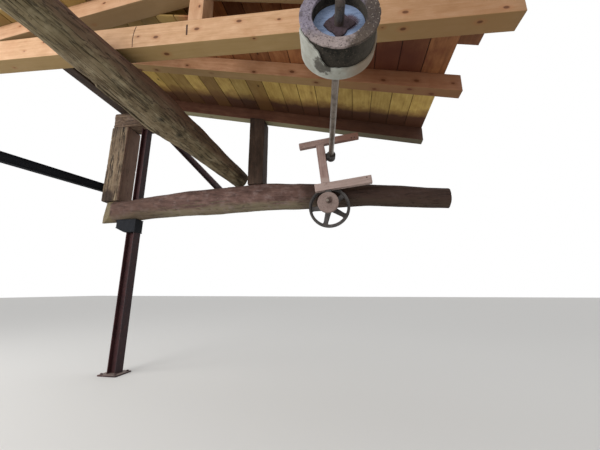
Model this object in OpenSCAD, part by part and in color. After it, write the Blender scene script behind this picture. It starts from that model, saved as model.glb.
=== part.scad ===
// Timber roof frame of an old mill hall, with the overhead line shaft that it carries.
// x runs along the log tie beam to the wall, y runs away from the viewer, z is up.
// The origin is the middle of the steel column's foot, on the floor. Sizes are in millimetres.

/* [Column] */
// Width and depth of the rolled steel column
column_w = 160; // [140:5:200]
// Thickness of the column's flanges
column_flange = 14; // [9:1:20]
// Thickness of the column's web
column_web = 9; // [6:1:14]
// Width of the square base plate
base_w = 340; // [280:10:420]
// Thickness of the base plate
base_t = 20; // [12:1:30]
// Length of the black cradle on the column's head
cap_len = 400; // [340:10:460]
// Overhang of the cradle to the right of the column's middle
cap_right = 95; // [85:5:140]
// Height of the cradle
cap_h = 240; // [180:10:300]
// Width of the cradle
cap_w = 200; // [180:5:240]
// Thickness of the cradle's plates
cap_t = 14; // [8:1:18]

/* [Tie beam] */
// Floor to the underside of the tie beam over the column
tie_seat_z = 2615; // [2300:5:2900]
// Reach of the tie beam to the left of the column
tie_left = 690; // [600:10:800]
// Reach of the tie beam to the wall's face on the right
tie_right = 5130; // [4600:10:5600]
// Length of the tie beam that lies in the wall
tie_bearing = 300; // [200:10:400]
// Radius of the tie beam at its thickest
tie_r = 232; // [200:2:260]

/* [Old timbers] */
// Width of the squared old post
old_post_w = 350; // [300:5:380]
// Distance of the old post to the left of the column
old_post_x = 460; // [440:5:520]
// Width of the dark king post
king_w = 270; // [220:5:320]
// Distance of the king post to the right of the column
king_x = 2350; // [2200:10:2500]
// Length of the bridging log
log_len = 3620; // [3400:20:3800]
// Radius of the bridging log at its thickest
log_r = 252; // [210:2:260]
// Slope of the bridging log in degrees
log_pitch = 14.5; // [12:0.5:15]
// Turn of the bridging log away from the frame in degrees
log_turn = 20; // [17:0.5:23]

/* [Roof] */
// Fall of the roof for each metre towards the wall
roof_fall = 245; // [200:5:270]
// Height of the rafters' undersides over the column
roof_z = 4960; // [4900:10:5050]
// Depth of a pine rafter
rafter_h = 220; // [180:5:260]
// Width of a pine rafter
rafter_w = 145; // [110:5:170]
// Spacing of the pine rafters
rafter_pitch = 1195; // [1000:5:1300]
// Length of the pine rafters in plan
rafter_run = 5740; // [5600:10:5900]
// Thickness of the roof boards
board_t = 28; // [20:1:40]

/* [Near frame] */
// Distance of the pine cross beam in front of the tie beam
cross_y = 2020; // [1950:5:2100]
// Depth of the pine cross beam
cross_h = 310; // [260:5:340]
// Width of the pine cross beam
cross_w = 215; // [180:5:230]
// Fall of the cross beam for each metre towards the wall
cross_fall = 78; // [60:1:95]
// Height of the cross beam's underside over the column
cross_z = 4215; // [4150:5:4260]

/* [Line shaft] */
// Radius of the line shaft
shaft_r = 38; // [30:1:45]
// Height of the line shaft's axis
shaft_z = 3410; // [3350:5:3450]
// Turn of the line shaft out of square in degrees
shaft_turn = 5.7; // [4:0.1:8]
// Radius of the belt drum
drum_r = 320; // [260:5:360]
// Length of the belt drum
drum_len = 340; // [260:10:400]
// Radius of the drum's open mouth
drum_mouth_r = 213; // [170:2:240]
// Depth of the hub plate behind the drum's rim
drum_recess = 110; // [80:5:150]
// Radial clearance of a shaft in its bearing
bearing_gap = 0.05; // [0.02:0.01:0.1]

/* [Counter shaft] */
// Radius of the spoked pulley
wheel_r = 318; // [280:2:330]
// Face width of the spoked pulley
wheel_face = 70; // [50:5:80]
// Radius of the pale disc pulley
disc_r = 155; // [120:5:180]
// Radius of the counter shaft
axle_r = 20; // [16:1:25]
// Number of spokes
spokes = 5; // [4:1:6]

/* [Hidden] */

pine = "#d9a066";
old_oak = "#6b5138";
primer = "#5a2f28";
steel_black = "#26292e";
iron = "#3d3f42";

// Slight overshoot of cutting tools, so that cuts are clean
eps = 1;

// Tie beam: distance along the beam, height of its middle above the seat, share of its full radius
tie_end_x = tie_right + tie_bearing;
tie_stations = [
    [-tie_left, 165, 0.86], [-330, 178, 0.9], [-100, 190, 0.86], [450, 235, 0.88], [king_x, 300, 1.0],
    [3100, 280, 0.96], [4270, 225, 0.76], [tie_right, 140, 0.66], [tie_end_x, 115, 0.64]
];
tie_level = [for (s = tie_stations) [s[0], s[1]]];
tie_size = [for (s = tie_stations) [s[0], s[2]]];
function tie_mid_z(x) = tie_seat_z + lookup(x, tie_level);
function tie_radius(x) = tie_r * lookup(x, tie_size);
function tie_top_z(x) = tie_mid_z(x) + tie_radius(x);

// Gap left under boards and over posts that meet a sloping seat
seat_gap = 0.3;

// Flats hewn on the tie beam's back, where posts stand
flat_depth = 28;
stub_w = 130;
post_foot_z = tie_top_z(-old_post_x) - flat_depth;
stub_foot_z = tie_top_z(0) - flat_depth;
king_foot_z = tie_top_z(king_x) - flat_depth;
brace_foot_x = 1740;
brace_foot_z = tie_top_z(brace_foot_x) - 24;
log_seat_z = tie_top_z(2050) - 20;

// Roof planes
function roof_under(x) = roof_z - roof_fall * x / 1000;
rafter_left = -600;
saddle_top_z = roof_z - 160;
saddle_h = 310;
saddle_foot_z = saddle_top_z - saddle_h;
ridge_w = 250;
ridge_x = -425;
cross_left = -900;
cross_right = 5560;
// The boards and the ridge beam end at the cross beam's rear face
deck_front = cross_y - cross_w / 2;
function cross_under(x) = cross_z - cross_fall * x / 1000;

// Line shaft
shaft_far_y = -300;
shaft_far_x = 3668;
shaft_near = 2980;
bearing_len = 110;
drum_at = 2090;
hanger_t = 56;

// Bracket on the tie beam
bracket_turn = 6.5;
bracket_x = 3540;
bracket_clear = 10;
bracket_board_t = 80;
board_w = 118;
upright_w = 128;
upright_back = 190;

// Counter shaft
axle_x = 3625;
axle_z = 2592;
axle_back = tie_r;
wheel_at = tie_r + 10;
block_at = wheel_at + wheel_face + 28;
block_t = 80;
disc_at = block_at + block_t + 80;
disc_t = 60;
axle_len = disc_at + disc_t + 92 - axle_back;
bracket_front = -block_at - block_t - bracket_clear;

// A log along +x with a natural outline, from stations of [distance, centre height, radius]
log_sides = 20;
log_rings = 36;
function rough(t, a, seed) =
    1 + 0.035 * sin(540 * t + 2 * a + seed) + 0.022 * sin(1300 * t - 3 * a + 2 * seed)
    + 0.012 * sin(2900 * t + 5 * a + 3 * seed);

module log(x0, x1, heights, radii, seed = 0, sway = 0) {
    points = [
        for (i = [0:log_rings]) let (t = i / log_rings, x = x0 + (x1 - x0) * t)
            for (j = [0:log_sides - 1]) let (a = 360 * j / log_sides, r = lookup(x, radii) * rough(t, a, seed))
                [x, sway * sin(180 * t) + r * cos(a), lookup(x, heights) + r * sin(a)]
    ];
    walls = [
        for (i = [0:log_rings - 1], j = [0:log_sides - 1]) let (k = (j + 1) % log_sides)
            [i * log_sides + j, i * log_sides + k, (i + 1) * log_sides + k, (i + 1) * log_sides + j]
    ];
    first = [for (j = [0:log_sides - 1]) log_sides - 1 - j];
    last = [for (j = [0:log_sides - 1]) log_rings * log_sides + j];
    polyhedron(points, concat(walls, [first, last]), convexity = 4);
}

// An I section standing along +z, with its flanges facing x
module i_section(w, flange, web, length) {
    for (side = [-1, 1])
        translate([side * (w - flange) / 2 - flange / 2, -w / 2, 0])
            cube([flange, w, length]);
    translate([-w / 2 + flange / 2, -web / 2, 0])
        cube([w - flange, web, length]);
}

// A sawn bar that falls to the right: plumb ends, underside through z0 at x = 0
module falling_bar(x0, x1, z0, fall, depth, y0, width) {
    translate([0, y0 + width, 0])
        rotate([90, 0, 0])
            linear_extrude(width)
                polygon([
                    [x0, z0 - fall * x0 / 1000], [x1, z0 - fall * x1 / 1000],
                    [x1, z0 - fall * x1 / 1000 + depth], [x0, z0 - fall * x0 / 1000 + depth]
                ]);
}

// Column and its plates
module column_base_plate() {
    color(primer)
        translate([-base_w / 2, -base_w / 2, 0])
            cube([base_w, base_w, base_t]);
}

module steel_column() {
    color(primer)
        translate([0, 0, base_t])
            i_section(column_w, column_flange, column_web, tie_seat_z - cap_h - base_t);
}

module column_cap() {
    color(steel_black)
        translate([cap_right - cap_len, -cap_w / 2, tie_seat_z - cap_h])
            difference() {
                cube([cap_len, cap_w, cap_h]);
                for (side = [0, 1])
                    translate([-eps, side == 0 ? -eps : cap_w / 2 + cap_t / 2, cap_t])
                        cube([cap_len + 2 * eps, cap_w / 2 - cap_t / 2 + eps, cap_h - 2 * cap_t]);
            }
}

// Old timbers
module tie_beam() {
    color("#7a4a38")
        difference() {
            log(-tie_left, tie_end_x, [for (s = tie_stations) [s[0], tie_seat_z + s[1]]],
                [for (s = tie_stations) [s[0], tie_r * s[2]]], seed = 40);
            // Flat on the cradle
            translate([cap_right - cap_len - 20, -tie_r - 50, tie_seat_z - 200])
                cube([cap_len + 40, 2 * tie_r + 100, 200]);
            // Oblique cut at the left end
            translate([-tie_left, 0, post_foot_z])
                rotate([0, -38, 0])
                    translate([-600, -400, -200])
                        cube([600, 800, 900]);
            // Front of the left end, sawn away at a slant in plan
            translate([-360, -205, tie_seat_z - 200])
                rotate([0, 0, 150])
                    cube([700, 500, 900]);
            // Flats under the posts
            translate([-old_post_x - old_post_w / 2 - 600, -400, post_foot_z])
                cube([600 + old_post_w + 20, 800, 300]);
            translate([-stub_w / 2 - 30, -400, stub_foot_z])
                cube([stub_w + 60, 800, 300]);
            translate([king_x - king_w / 2 - 30, -400, king_foot_z])
                cube([king_w + 60, 800, 300]);
            // Seats of the steel brace and of the bridging log
            translate([1500, -400, brace_foot_z])
                cube([350, 800, 300]);
            translate([1640, -400, log_seat_z])
                cube([560, 800, 300]);
            // Flat for the bracket's upright
            translate([bracket_x - 130, -tie_r - 300, 2872])
                cube([260, 300 + tie_r - upright_back, 400]);
        }
}

module old_post() {
    color(old_oak)
        difference() {
            translate([-old_post_x - old_post_w / 2, -old_post_w / 2, post_foot_z])
                cube([old_post_w, old_post_w, saddle_foot_z - post_foot_z]);
            // Open lap near the foot
            translate([-old_post_x - old_post_w / 2 - eps, -old_post_w / 2 - eps, post_foot_z + 190])
                cube([120, 60, 22]);
        }
}

module steel_stub() {
    color(primer)
        translate([0, 0, stub_foot_z])
            i_section(stub_w, column_flange, column_web, saddle_foot_z - stub_foot_z);
}

brace_w = 110;
saddle_right = 130;
brace_top = [saddle_right, saddle_top_z - 65];
brace_run = brace_foot_x - brace_top[0];

module steel_brace() {
    rise = brace_top[1] - brace_foot_z;
    slope = atan2(rise, brace_run);
    length = norm([brace_run, rise]);
    color(primer)
        difference() {
            translate([brace_top[0], 0, brace_top[1]])
                rotate([0, slope, 0])
                    translate([-120, -brace_w / 2, -brace_w])
                        difference() {
                            cube([length + 260, brace_w, brace_w]);
                            translate([-eps, -eps, 10])
                                cube([length + 262, brace_w - 10, brace_w - 20]);
                        }
            // Plumb cut at the stub and level cut on the tie beam
            translate([saddle_right - 500, -200, saddle_foot_z - 700])
                cube([500, 400, 1200]);
            translate([1200, -200, brace_foot_z - 600])
                cube([1200, 400, 600]);
        }
}

side_beam_turn = 16;
side_beam_len = 1750;
side_beam_h = 150;
side_beam_z = 3200;

module side_beam() {
    color(steel_black)
        difference() {
            translate([-old_post_x - old_post_w / 2, 90, side_beam_z])
                rotate([0, 0, -side_beam_turn])
                    translate([-50, -side_beam_len, 0])
                        difference() {
                            translate([-41, 0, 0])
                                cube([82, side_beam_len + 60, side_beam_h]);
                            for (side = [-1, 1])
                                translate([side * 24 - 20, -eps, 10])
                                    cube([40, side_beam_len + 60 + 2 * eps, side_beam_h - 20]);
                        }
            // Butts against the old post
            translate([-old_post_x - old_post_w / 2, -400, side_beam_z - 50])
                cube([400, 800, side_beam_h + 100]);
        }
}

module post_saddle() {
    color(old_oak)
        translate([-old_post_x - old_post_w / 2, -old_post_w / 2, saddle_foot_z])
            cube([old_post_x + old_post_w / 2 + saddle_right, old_post_w, saddle_h]);
}

module ridge_beam() {
    x0 = ridge_x - ridge_w / 2;
    x1 = ridge_x + ridge_w / 2;
    y0 = -deck_front;
    color("#4a3a2c")
        translate([0, 260, 0])
            rotate([90, 0, 0])
                linear_extrude(260 - y0)
                    polygon([[x0, saddle_top_z], [x1, saddle_top_z], [x1, roof_under(x1) - seat_gap], [x0, roof_under(x0) - seat_gap]]);
}

module king_post() {
    color("#3e2c20")
        translate([0, king_w / 2, 0])
            rotate([90, 0, 0])
                linear_extrude(king_w)
                    polygon([
                        [king_x - king_w / 2, king_foot_z], [king_x + king_w / 2, king_foot_z],
                        [king_x + king_w / 2, roof_under(king_x + king_w / 2) - seat_gap],
                        [king_x - king_w / 2, roof_under(king_x - king_w / 2) - seat_gap]
                    ]);
}

log_foot = [1930, 60, 3310];

module bridging_log() {
    color("#5d5540")
        difference() {
            translate(log_foot)
                rotate([0, 0, -90 - log_turn])
                    rotate([0, -log_pitch, 0])
                        log(-120, log_len, [[-120, 45], [300, 40], [700, 31], [1100, 19], [1500, 0], [log_len, 0]],
                            [[-120, log_r * 0.62], [300, log_r * 0.7], [700, log_r * 0.77],
                             [1100, log_r * 0.86], [1500, log_r * 0.97], [1900, log_r],
                             [2700, log_r * 0.9], [log_len, log_r * 0.82]], seed = 120, sway = 30);
            // Level seat on the tie beam
            translate([1000, -600, log_seat_z - 500])
                cube([1900, 1200, 500]);
            // Seat of the pine cross beam
            falling_bar(0, 2000, cross_z, cross_fall, 600, -cross_y - cross_w / 2 - 5, cross_w + 10);
        }
}

// Pine rafters and boards
module rear_rafter() {
    color(pine)
        falling_bar(rafter_left, rafter_left + rafter_run, roof_z, roof_fall, rafter_h, -rafter_w / 2, rafter_w);
}

module middle_rafter() {
    color(pine)
        falling_bar(rafter_left, rafter_left + rafter_run + 170, roof_z, roof_fall, rafter_h,
            -rafter_pitch - rafter_w / 2, rafter_w);
}

module near_cross_beam() {
    color(pine)
        falling_bar(cross_left, cross_right, cross_z, cross_fall, cross_h, -cross_y - cross_w / 2, cross_w);
}

cross_post_x = 2280;
cross_post_w = 180;
near_top_z = roof_z + 120;

module cross_beam_post() {
    x0 = cross_post_x - cross_post_w / 2;
    x1 = cross_post_x + cross_post_w / 2;
    color(pine)
        translate([0, -cross_y + cross_w / 2, 0])
            rotate([90, 0, 0])
                linear_extrude(cross_w)
                    polygon([
                        [x0, cross_under(x0) + cross_h], [x1, cross_under(x1) + cross_h],
                        [x1, near_top_z], [x0, near_top_z]
                    ]);
}

near_depth = 230;
near_left_z = near_top_z - near_depth;
near_run = 2900;
near_foot_x = cross_post_x - cross_post_w / 2 - near_run;
near_rise = 1000 * (near_left_z - cross_under(near_foot_x) - cross_h) / near_run;

// Left upper chord: rises gently to the post
module near_rafter_left() {
    x1 = cross_post_x - cross_post_w / 2;
    color(pine)
        translate([x1, 0, 0])
            falling_bar(-near_run, 0, near_left_z, -near_rise, near_depth, -cross_y - cross_w / 2, cross_w);
}

// Right upper chord: falls from the post to the cross beam's heel
heel_x = 5200;
near_fall = 1000 * (near_left_z - (cross_under(heel_x) + cross_h)) / (heel_x - cross_post_x - cross_post_w / 2);

module near_rafter_right() {
    x0 = cross_post_x + cross_post_w / 2;
    color(pine)
        difference() {
            translate([x0, 0, 0])
                falling_bar(0, cross_right - x0, near_left_z, near_fall, near_depth,
                    -cross_y - cross_w / 2, cross_w);
            falling_bar(x0 - 10, cross_right + 10, cross_z, cross_fall, cross_h,
                -cross_y - cross_w / 2 - eps, cross_w + 2 * eps);
        }
}

deck_left = rafter_left - 60;
deck_right = rafter_left + rafter_run;
deck_third = (deck_right - deck_left) / 3;
deck_back = 230;

module roof_boards(part) {
    x0 = deck_left + deck_third * part;
    color("#b98a4e")
        falling_bar(x0, x0 + deck_third, roof_z + rafter_h + seat_gap, roof_fall, board_t, -deck_front,
            deck_front + deck_back);
}

module roof_boards_left() {
    roof_boards(0);
}

module roof_boards_middle() {
    roof_boards(1);
}

module roof_boards_right() {
    roof_boards(2);
}

near_deck = 560;
near_deck_y = -cross_y - near_deck / 2;
near_lap = 470;
near_lap_x = 1300;
near_boards_left_z = near_top_z + near_rise * cross_post_w / 2000 + seat_gap;

// Boards on the near frame, lapping over the lower boards behind
module near_boards_left() {
    color("#b98a4e")
        translate([cross_post_x, 0, 0]) {
            falling_bar(-near_run - cross_post_w / 2, cross_post_w / 2, near_boards_left_z, -near_rise, board_t,
                near_deck_y, -deck_front - near_deck_y);
            falling_bar(near_lap_x - cross_post_x, cross_post_w / 2, near_boards_left_z, -near_rise, board_t,
                near_deck_y, near_deck + near_lap);
        }
}

module near_boards_right() {
    x0 = cross_post_x + cross_post_w / 2;
    color("#b98a4e")
        translate([x0, 0, 0])
            falling_bar(0, cross_right - x0, near_left_z + near_depth + seat_gap, near_fall, board_t,
                near_deck_y, near_deck + near_lap);
}

// Places a child in the line shaft's own frame: origin at the far end, +y towards the viewer
module on_shaft() {
    translate([shaft_far_x, shaft_far_y, shaft_z])
        rotate([0, 0, 180 + shaft_turn])
            children();
}

// A round bar along +y
module bar_y(r, length) {
    rotate([-90, 0, 0])
        cylinder(h = length, r = r, $fn = 64);
}

// Bracket: an I of rough boards, hung crooked on the tie beam
module on_bracket() {
    translate([bracket_x, 0, 3300])
        rotate([0, -bracket_turn, 0])
            children();
}

bottom_board_z = -476;
top_board_z = 285;

module bracket_top_board() {
    color("#b08c7c")
        on_bracket()
            translate([-330, bracket_front, top_board_z])
                cube([940, bracket_board_t, 92]);
}

module bracket_upright() {
    color("#b08c7c")
        on_bracket()
            translate([-upright_w / 2, bracket_front, bottom_board_z + board_w])
                cube([upright_w, -bracket_front - upright_back, top_board_z - bottom_board_z - board_w]);
}

module bracket_bottom_board() {
    color("#b08c7c")
        on_bracket()
            translate([-170, bracket_front, bottom_board_z])
                cube([860, bracket_board_t, board_w]);
}

module end_bearing() {
    color(iron)
        difference() {
            union() {
                on_shaft()
                    translate([0, -10, 0])
                        bar_y(shaft_r + 32, bearing_len);
                translate([bracket_x + 30, shaft_far_y - bearing_len + 10, shaft_z - 45])
                    cube([shaft_far_x - bracket_x - 30, bearing_len - 10, 90]);
            }
            on_shaft()
                translate([0, -50, 0])
                    bar_y(shaft_r + bearing_gap, bearing_len + 100);
            on_bracket()
                translate([-upright_w / 2, -800, -600])
                    cube([upright_w, 800, 1200]);
        }
}

module hanger() {
    front = -cross_y - cross_w / 2;
    // Where the shaft passes the cross beam's front face
    x = shaft_far_x + tan(shaft_turn) * (shaft_far_y - front);
    color(iron)
        difference() {
            union() {
                translate([x, front - hanger_t, shaft_z])
                    bar_y(shaft_r + 30, hanger_t);
                translate([x - 30, front - 22, shaft_z + 20])
                    cube([60, 22, cross_under(x) + cross_h - 40 - shaft_z - 20]);
                translate([x - 30, front - hanger_t, shaft_z + 20])
                    cube([60, hanger_t, 90]);
            }
            on_shaft()
                bar_y(shaft_r + bearing_gap, shaft_near);
        }
}

module line_shaft() {
    color("#77736c")
        on_shaft()
            bar_y(shaft_r, shaft_near);
}

lagging_t = 18;
rim_plank_t = 22;
lagging_gap = 0.7;
lagging_back = 12;

// Front edge of the torn lagging: angle seen from the front, share of the drum's length that is left
tear = [[0, 0.56], [150, 0.56], [172, 0.62], [196, 0.84], [214, 0.86], [228, 0.74], [236, 0.5], [262, 0.44],
    [300, 0.5], [360, 0.56]];
tear_steps = 30;

module drum_body() {
    color("#8b8178")
        on_shaft()
            translate([0, drum_at, 0])
                difference() {
                    union() {
                        bar_y(drum_r - lagging_t, drum_len);
                        // Ring of planks round the drum's mouth
                        translate([0, drum_len - rim_plank_t, 0])
                            bar_y(drum_r - 4, rim_plank_t);
                    }
                    translate([0, drum_len - drum_recess, 0])
                        bar_y(drum_mouth_r, drum_recess + eps);
                    translate([0, -eps, 0])
                        bar_y(drum_mouth_r, drum_recess + eps);
                    translate([0, -eps, 0])
                        bar_y(shaft_r + bearing_gap, drum_len + 2 * eps);
                }
}

module drum_lagging() {
    color("#b9b4ab")
        on_shaft()
            translate([0, drum_at, 0])
                difference() {
                    translate([0, lagging_back, 0])
                        bar_y(drum_r, drum_len - rim_plank_t - lagging_back - 2);
                    translate([0, -eps, 0])
                        bar_y(drum_r - lagging_t + lagging_gap, drum_len + 2 * eps);
                    // Torn away in front, in ragged steps round the drum
                    for (k = [0:tear_steps - 1])
                        let (step = 360 / tear_steps, a = k * step, left = lookup(a + step / 2, tear))
                            if (left < 0.85)
                                translate([0, drum_len * left + 5 * sin(900 * k / tear_steps), 0])
                                    rotate([-90, 0, 0])
                                        linear_extrude(drum_len)
                                            polygon([
                                                [0, 0], 2 * drum_r * [cos(180 - a), -sin(180 - a)],
                                                2 * drum_r * [cos(180 - a - step), -sin(180 - a - step)]
                                            ]);
                }
}

module drum_hub_plate() {
    color("#8fa3b8")
        on_shaft()
            translate([0, drum_at + drum_len - drum_recess, 0])
                difference() {
                    union() {
                        bar_y(drum_mouth_r - 3, 8);
                        rotate([-90, 0, 0])
                            cylinder(h = 26, r = 95, $fn = 4);
                    }
                    translate([0, -eps, 0])
                        bar_y(shaft_r + bearing_gap, 40);
                }
}

// Counter shaft, below the bracket
module on_axle() {
    translate([axle_x, 0, axle_z])
        rotate([0, 0, 180])
            children();
}

module counter_bearing() {
    color(iron)
        difference() {
            translate([axle_x - 45, -block_at - block_t, axle_z - 45])
                cube([90, block_t, 400]);
            on_axle()
                translate([0, block_at - eps, 0])
                    bar_y(axle_r + bearing_gap, block_t + 2 * eps);
            on_bracket()
                translate([-500, -900, bottom_board_z])
                    cube([2000, 1800, 1000]);
        }
}

module counter_axle() {
    color(iron)
        on_axle()
            translate([0, axle_back, 0])
                bar_y(axle_r, axle_len);
}

rim_t = 46;
hub_r = 76;
spoke_w = 82;
spoke_end_w = 60;
spoke_t = 22;
spoke_start = 76;

// A flat cast arm that narrows towards the rim
module spoke() {
    translate([0, (wheel_face + spoke_t) / 2, 0])
        rotate([90, 0, 0])
            linear_extrude(spoke_t)
                polygon([
                    [hub_r * 0.6, -spoke_w / 2], [wheel_r - rim_t * 1.6, -spoke_end_w / 2],
                    [wheel_r - rim_t / 2, -spoke_end_w * 0.72], [wheel_r - rim_t / 2, spoke_end_w * 0.72],
                    [wheel_r - rim_t * 1.6, spoke_end_w / 2], [hub_r * 0.6, spoke_w / 2]
                ]);
}

module spoked_pulley() {
    color(iron)
        on_axle()
            translate([0, wheel_at, 0])
                difference() {
                    union() {
                        difference() {
                            bar_y(wheel_r, wheel_face);
                            translate([0, -eps, 0])
                                bar_y(wheel_r - rim_t, wheel_face + 2 * eps);
                        }
                        bar_y(hub_r, wheel_face);
                        for (k = [0:spokes - 1])
                            rotate([0, spoke_start + 360 * k / spokes, 0])
                                spoke();
                    }
                    translate([0, -eps, 0])
                        bar_y(axle_r + bearing_gap, wheel_face + 2 * eps);
                }
}

module disc_pulley() {
    color("#b9a7a0")
        on_axle()
            translate([0, disc_at, 0])
                difference() {
                    bar_y(disc_r, disc_t);
                    translate([0, -eps, 0])
                        bar_y(axle_r + bearing_gap, disc_t + 2 * eps);
                }
}

column_base_plate();
steel_column();
column_cap();
tie_beam();
old_post();
steel_stub();
steel_brace();
side_beam();
post_saddle();
ridge_beam();
king_post();
bridging_log();
rear_rafter();
middle_rafter();
near_cross_beam();
cross_beam_post();
near_rafter_left();
near_rafter_right();
roof_boards_left();
roof_boards_middle();
roof_boards_right();
near_boards_left();
near_boards_right();
bracket_top_board();
bracket_upright();
bracket_bottom_board();
end_bearing();
hanger();
line_shaft();
drum_body();
drum_lagging();
drum_hub_plate();
counter_bearing();
counter_axle();
spoked_pulley();
disc_pulley();
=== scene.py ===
"""Looks of the roof frame of an old mill hall and of the line shaft that it carries.

Every timber, rolled section, board and machine part is a surface worked out with numpy in the row frame:
x runs to the right along the log tie beam, y away from the viewer, z up, all in metres.
"""

import math
from functools import partial

import bpy
import numpy as np
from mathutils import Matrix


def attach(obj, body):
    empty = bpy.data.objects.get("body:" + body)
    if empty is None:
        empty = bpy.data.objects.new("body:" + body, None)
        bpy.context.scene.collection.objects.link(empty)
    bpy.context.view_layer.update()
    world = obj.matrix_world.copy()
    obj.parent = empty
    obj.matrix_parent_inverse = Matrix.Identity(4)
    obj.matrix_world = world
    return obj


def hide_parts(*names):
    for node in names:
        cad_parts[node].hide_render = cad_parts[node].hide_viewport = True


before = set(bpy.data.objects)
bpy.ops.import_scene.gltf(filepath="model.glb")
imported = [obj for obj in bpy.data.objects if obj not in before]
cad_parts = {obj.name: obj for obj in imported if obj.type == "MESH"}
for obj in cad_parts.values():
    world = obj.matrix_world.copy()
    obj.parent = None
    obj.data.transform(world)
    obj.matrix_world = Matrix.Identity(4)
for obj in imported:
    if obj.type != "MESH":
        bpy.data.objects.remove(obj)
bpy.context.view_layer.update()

# Directions of the row frame, and the setting of a mask that eases in and out
RIGHT, LEFT, AWAY, NEARER = (1, 0, 0), (-1, 0, 0), (0, 1, 0), (0, -1, 0)
UP, DOWN = (0, 0, 1), (0, 0, -1)
EASED = {"interpolation_type": "SMOOTHSTEP"}

# Helpers for nodes and colours


def linear(hex_colour):
    """sRGB hex to linear: a straight slope in the darks and a power of 2.4 above them."""
    values = [int(hex_colour[i : i + 2], 16) / 255 for i in (1, 3, 5)]
    return [v / 12.92 if v <= 0.04045 else ((v + 0.055) / 1.055) ** 2.4 for v in values] + [1]


def feed(node, inputs):
    """Fills a node's inputs, each with a constant, a socket, or a node's first output."""
    for key, value in inputs.items():
        if isinstance(value, bpy.types.Node):
            value = value.outputs[0]
        if isinstance(value, bpy.types.NodeSocket):
            node.id_data.links.new(value, node.inputs[key])
        else:
            node.inputs[key].default_value = value
    return node


def add_node(tree, kind, inputs, operation=None, **settings):
    """Adds one node with its operation, if it has one, its other settings, constants and links."""
    node = tree.nodes.new("ShaderNode" + kind)
    if operation:
        node.operation = operation
    for key, value in settings.items():
        setattr(node, key, value)
    return feed(node, inputs)


finishes = {}


def finish(name):
    """A new finish: the function that adds nodes to it, and its bare shader."""
    material = finishes[name] = bpy.data.materials.new(name)
    material.use_nodes = True
    return partial(add_node, material.node_tree), material.node_tree.nodes["Principled BSDF"]


def masked(add, where, scale, kind, at, near, far, raggedness):
    """A mask: how far a point lies along a direction, or inside a ball round a place, with a ragged edge."""
    operation = {"way": "DOT_PRODUCT", "ball": "DISTANCE"}[kind]
    reach = add("VectorMath", {0: where, 1: at}, operation).outputs["Value"]
    noise = add("TexNoise", {"Vector": where, "Scale": scale, "Detail": 6, "Roughness": 0.65})
    shifted = add("Math", {0: noise, 1: raggedness, 2: reach}, "MULTIPLY_ADD")
    half = raggedness / 2
    return add("MapRange", {0: shifted, 1: near + half, 2: far + half}, **EASED)


def patchy(add, where, low, high, scale, detail, roughness=0.5):
    """A mask of noise that eases in from a low to a high value of it."""
    noise = add("TexNoise", {"Vector": where, "Scale": scale, "Detail": detail, "Roughness": roughness})
    return add("MapRange", {0: noise, 1: low, 2: high}, **EASED)


def over(add, base, tone, mask, share=1):
    """Mixes a share of a tone over the colour where the mask says."""
    strength = add("Math", {0: mask, 1: share}, "MULTIPLY", use_clamp=True)
    return add("Mix", {0: strength, 6: base, 7: linear(tone)}, data_type="RGBA").outputs[2]


def soiled_or_shaded(add, colour, where, scale, soils_and_shading):
    """Lays soils, or painted light and shade, over the colour: mask kind, direction or place, near, far,
    tone, share and raggedness.
    """
    for kind, at, near, far, tone, share, raggedness in soils_and_shading:
        colour = over(add, colour, tone, masked(add, where, scale, kind, at, near, far, raggedness), share)
    return colour


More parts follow.
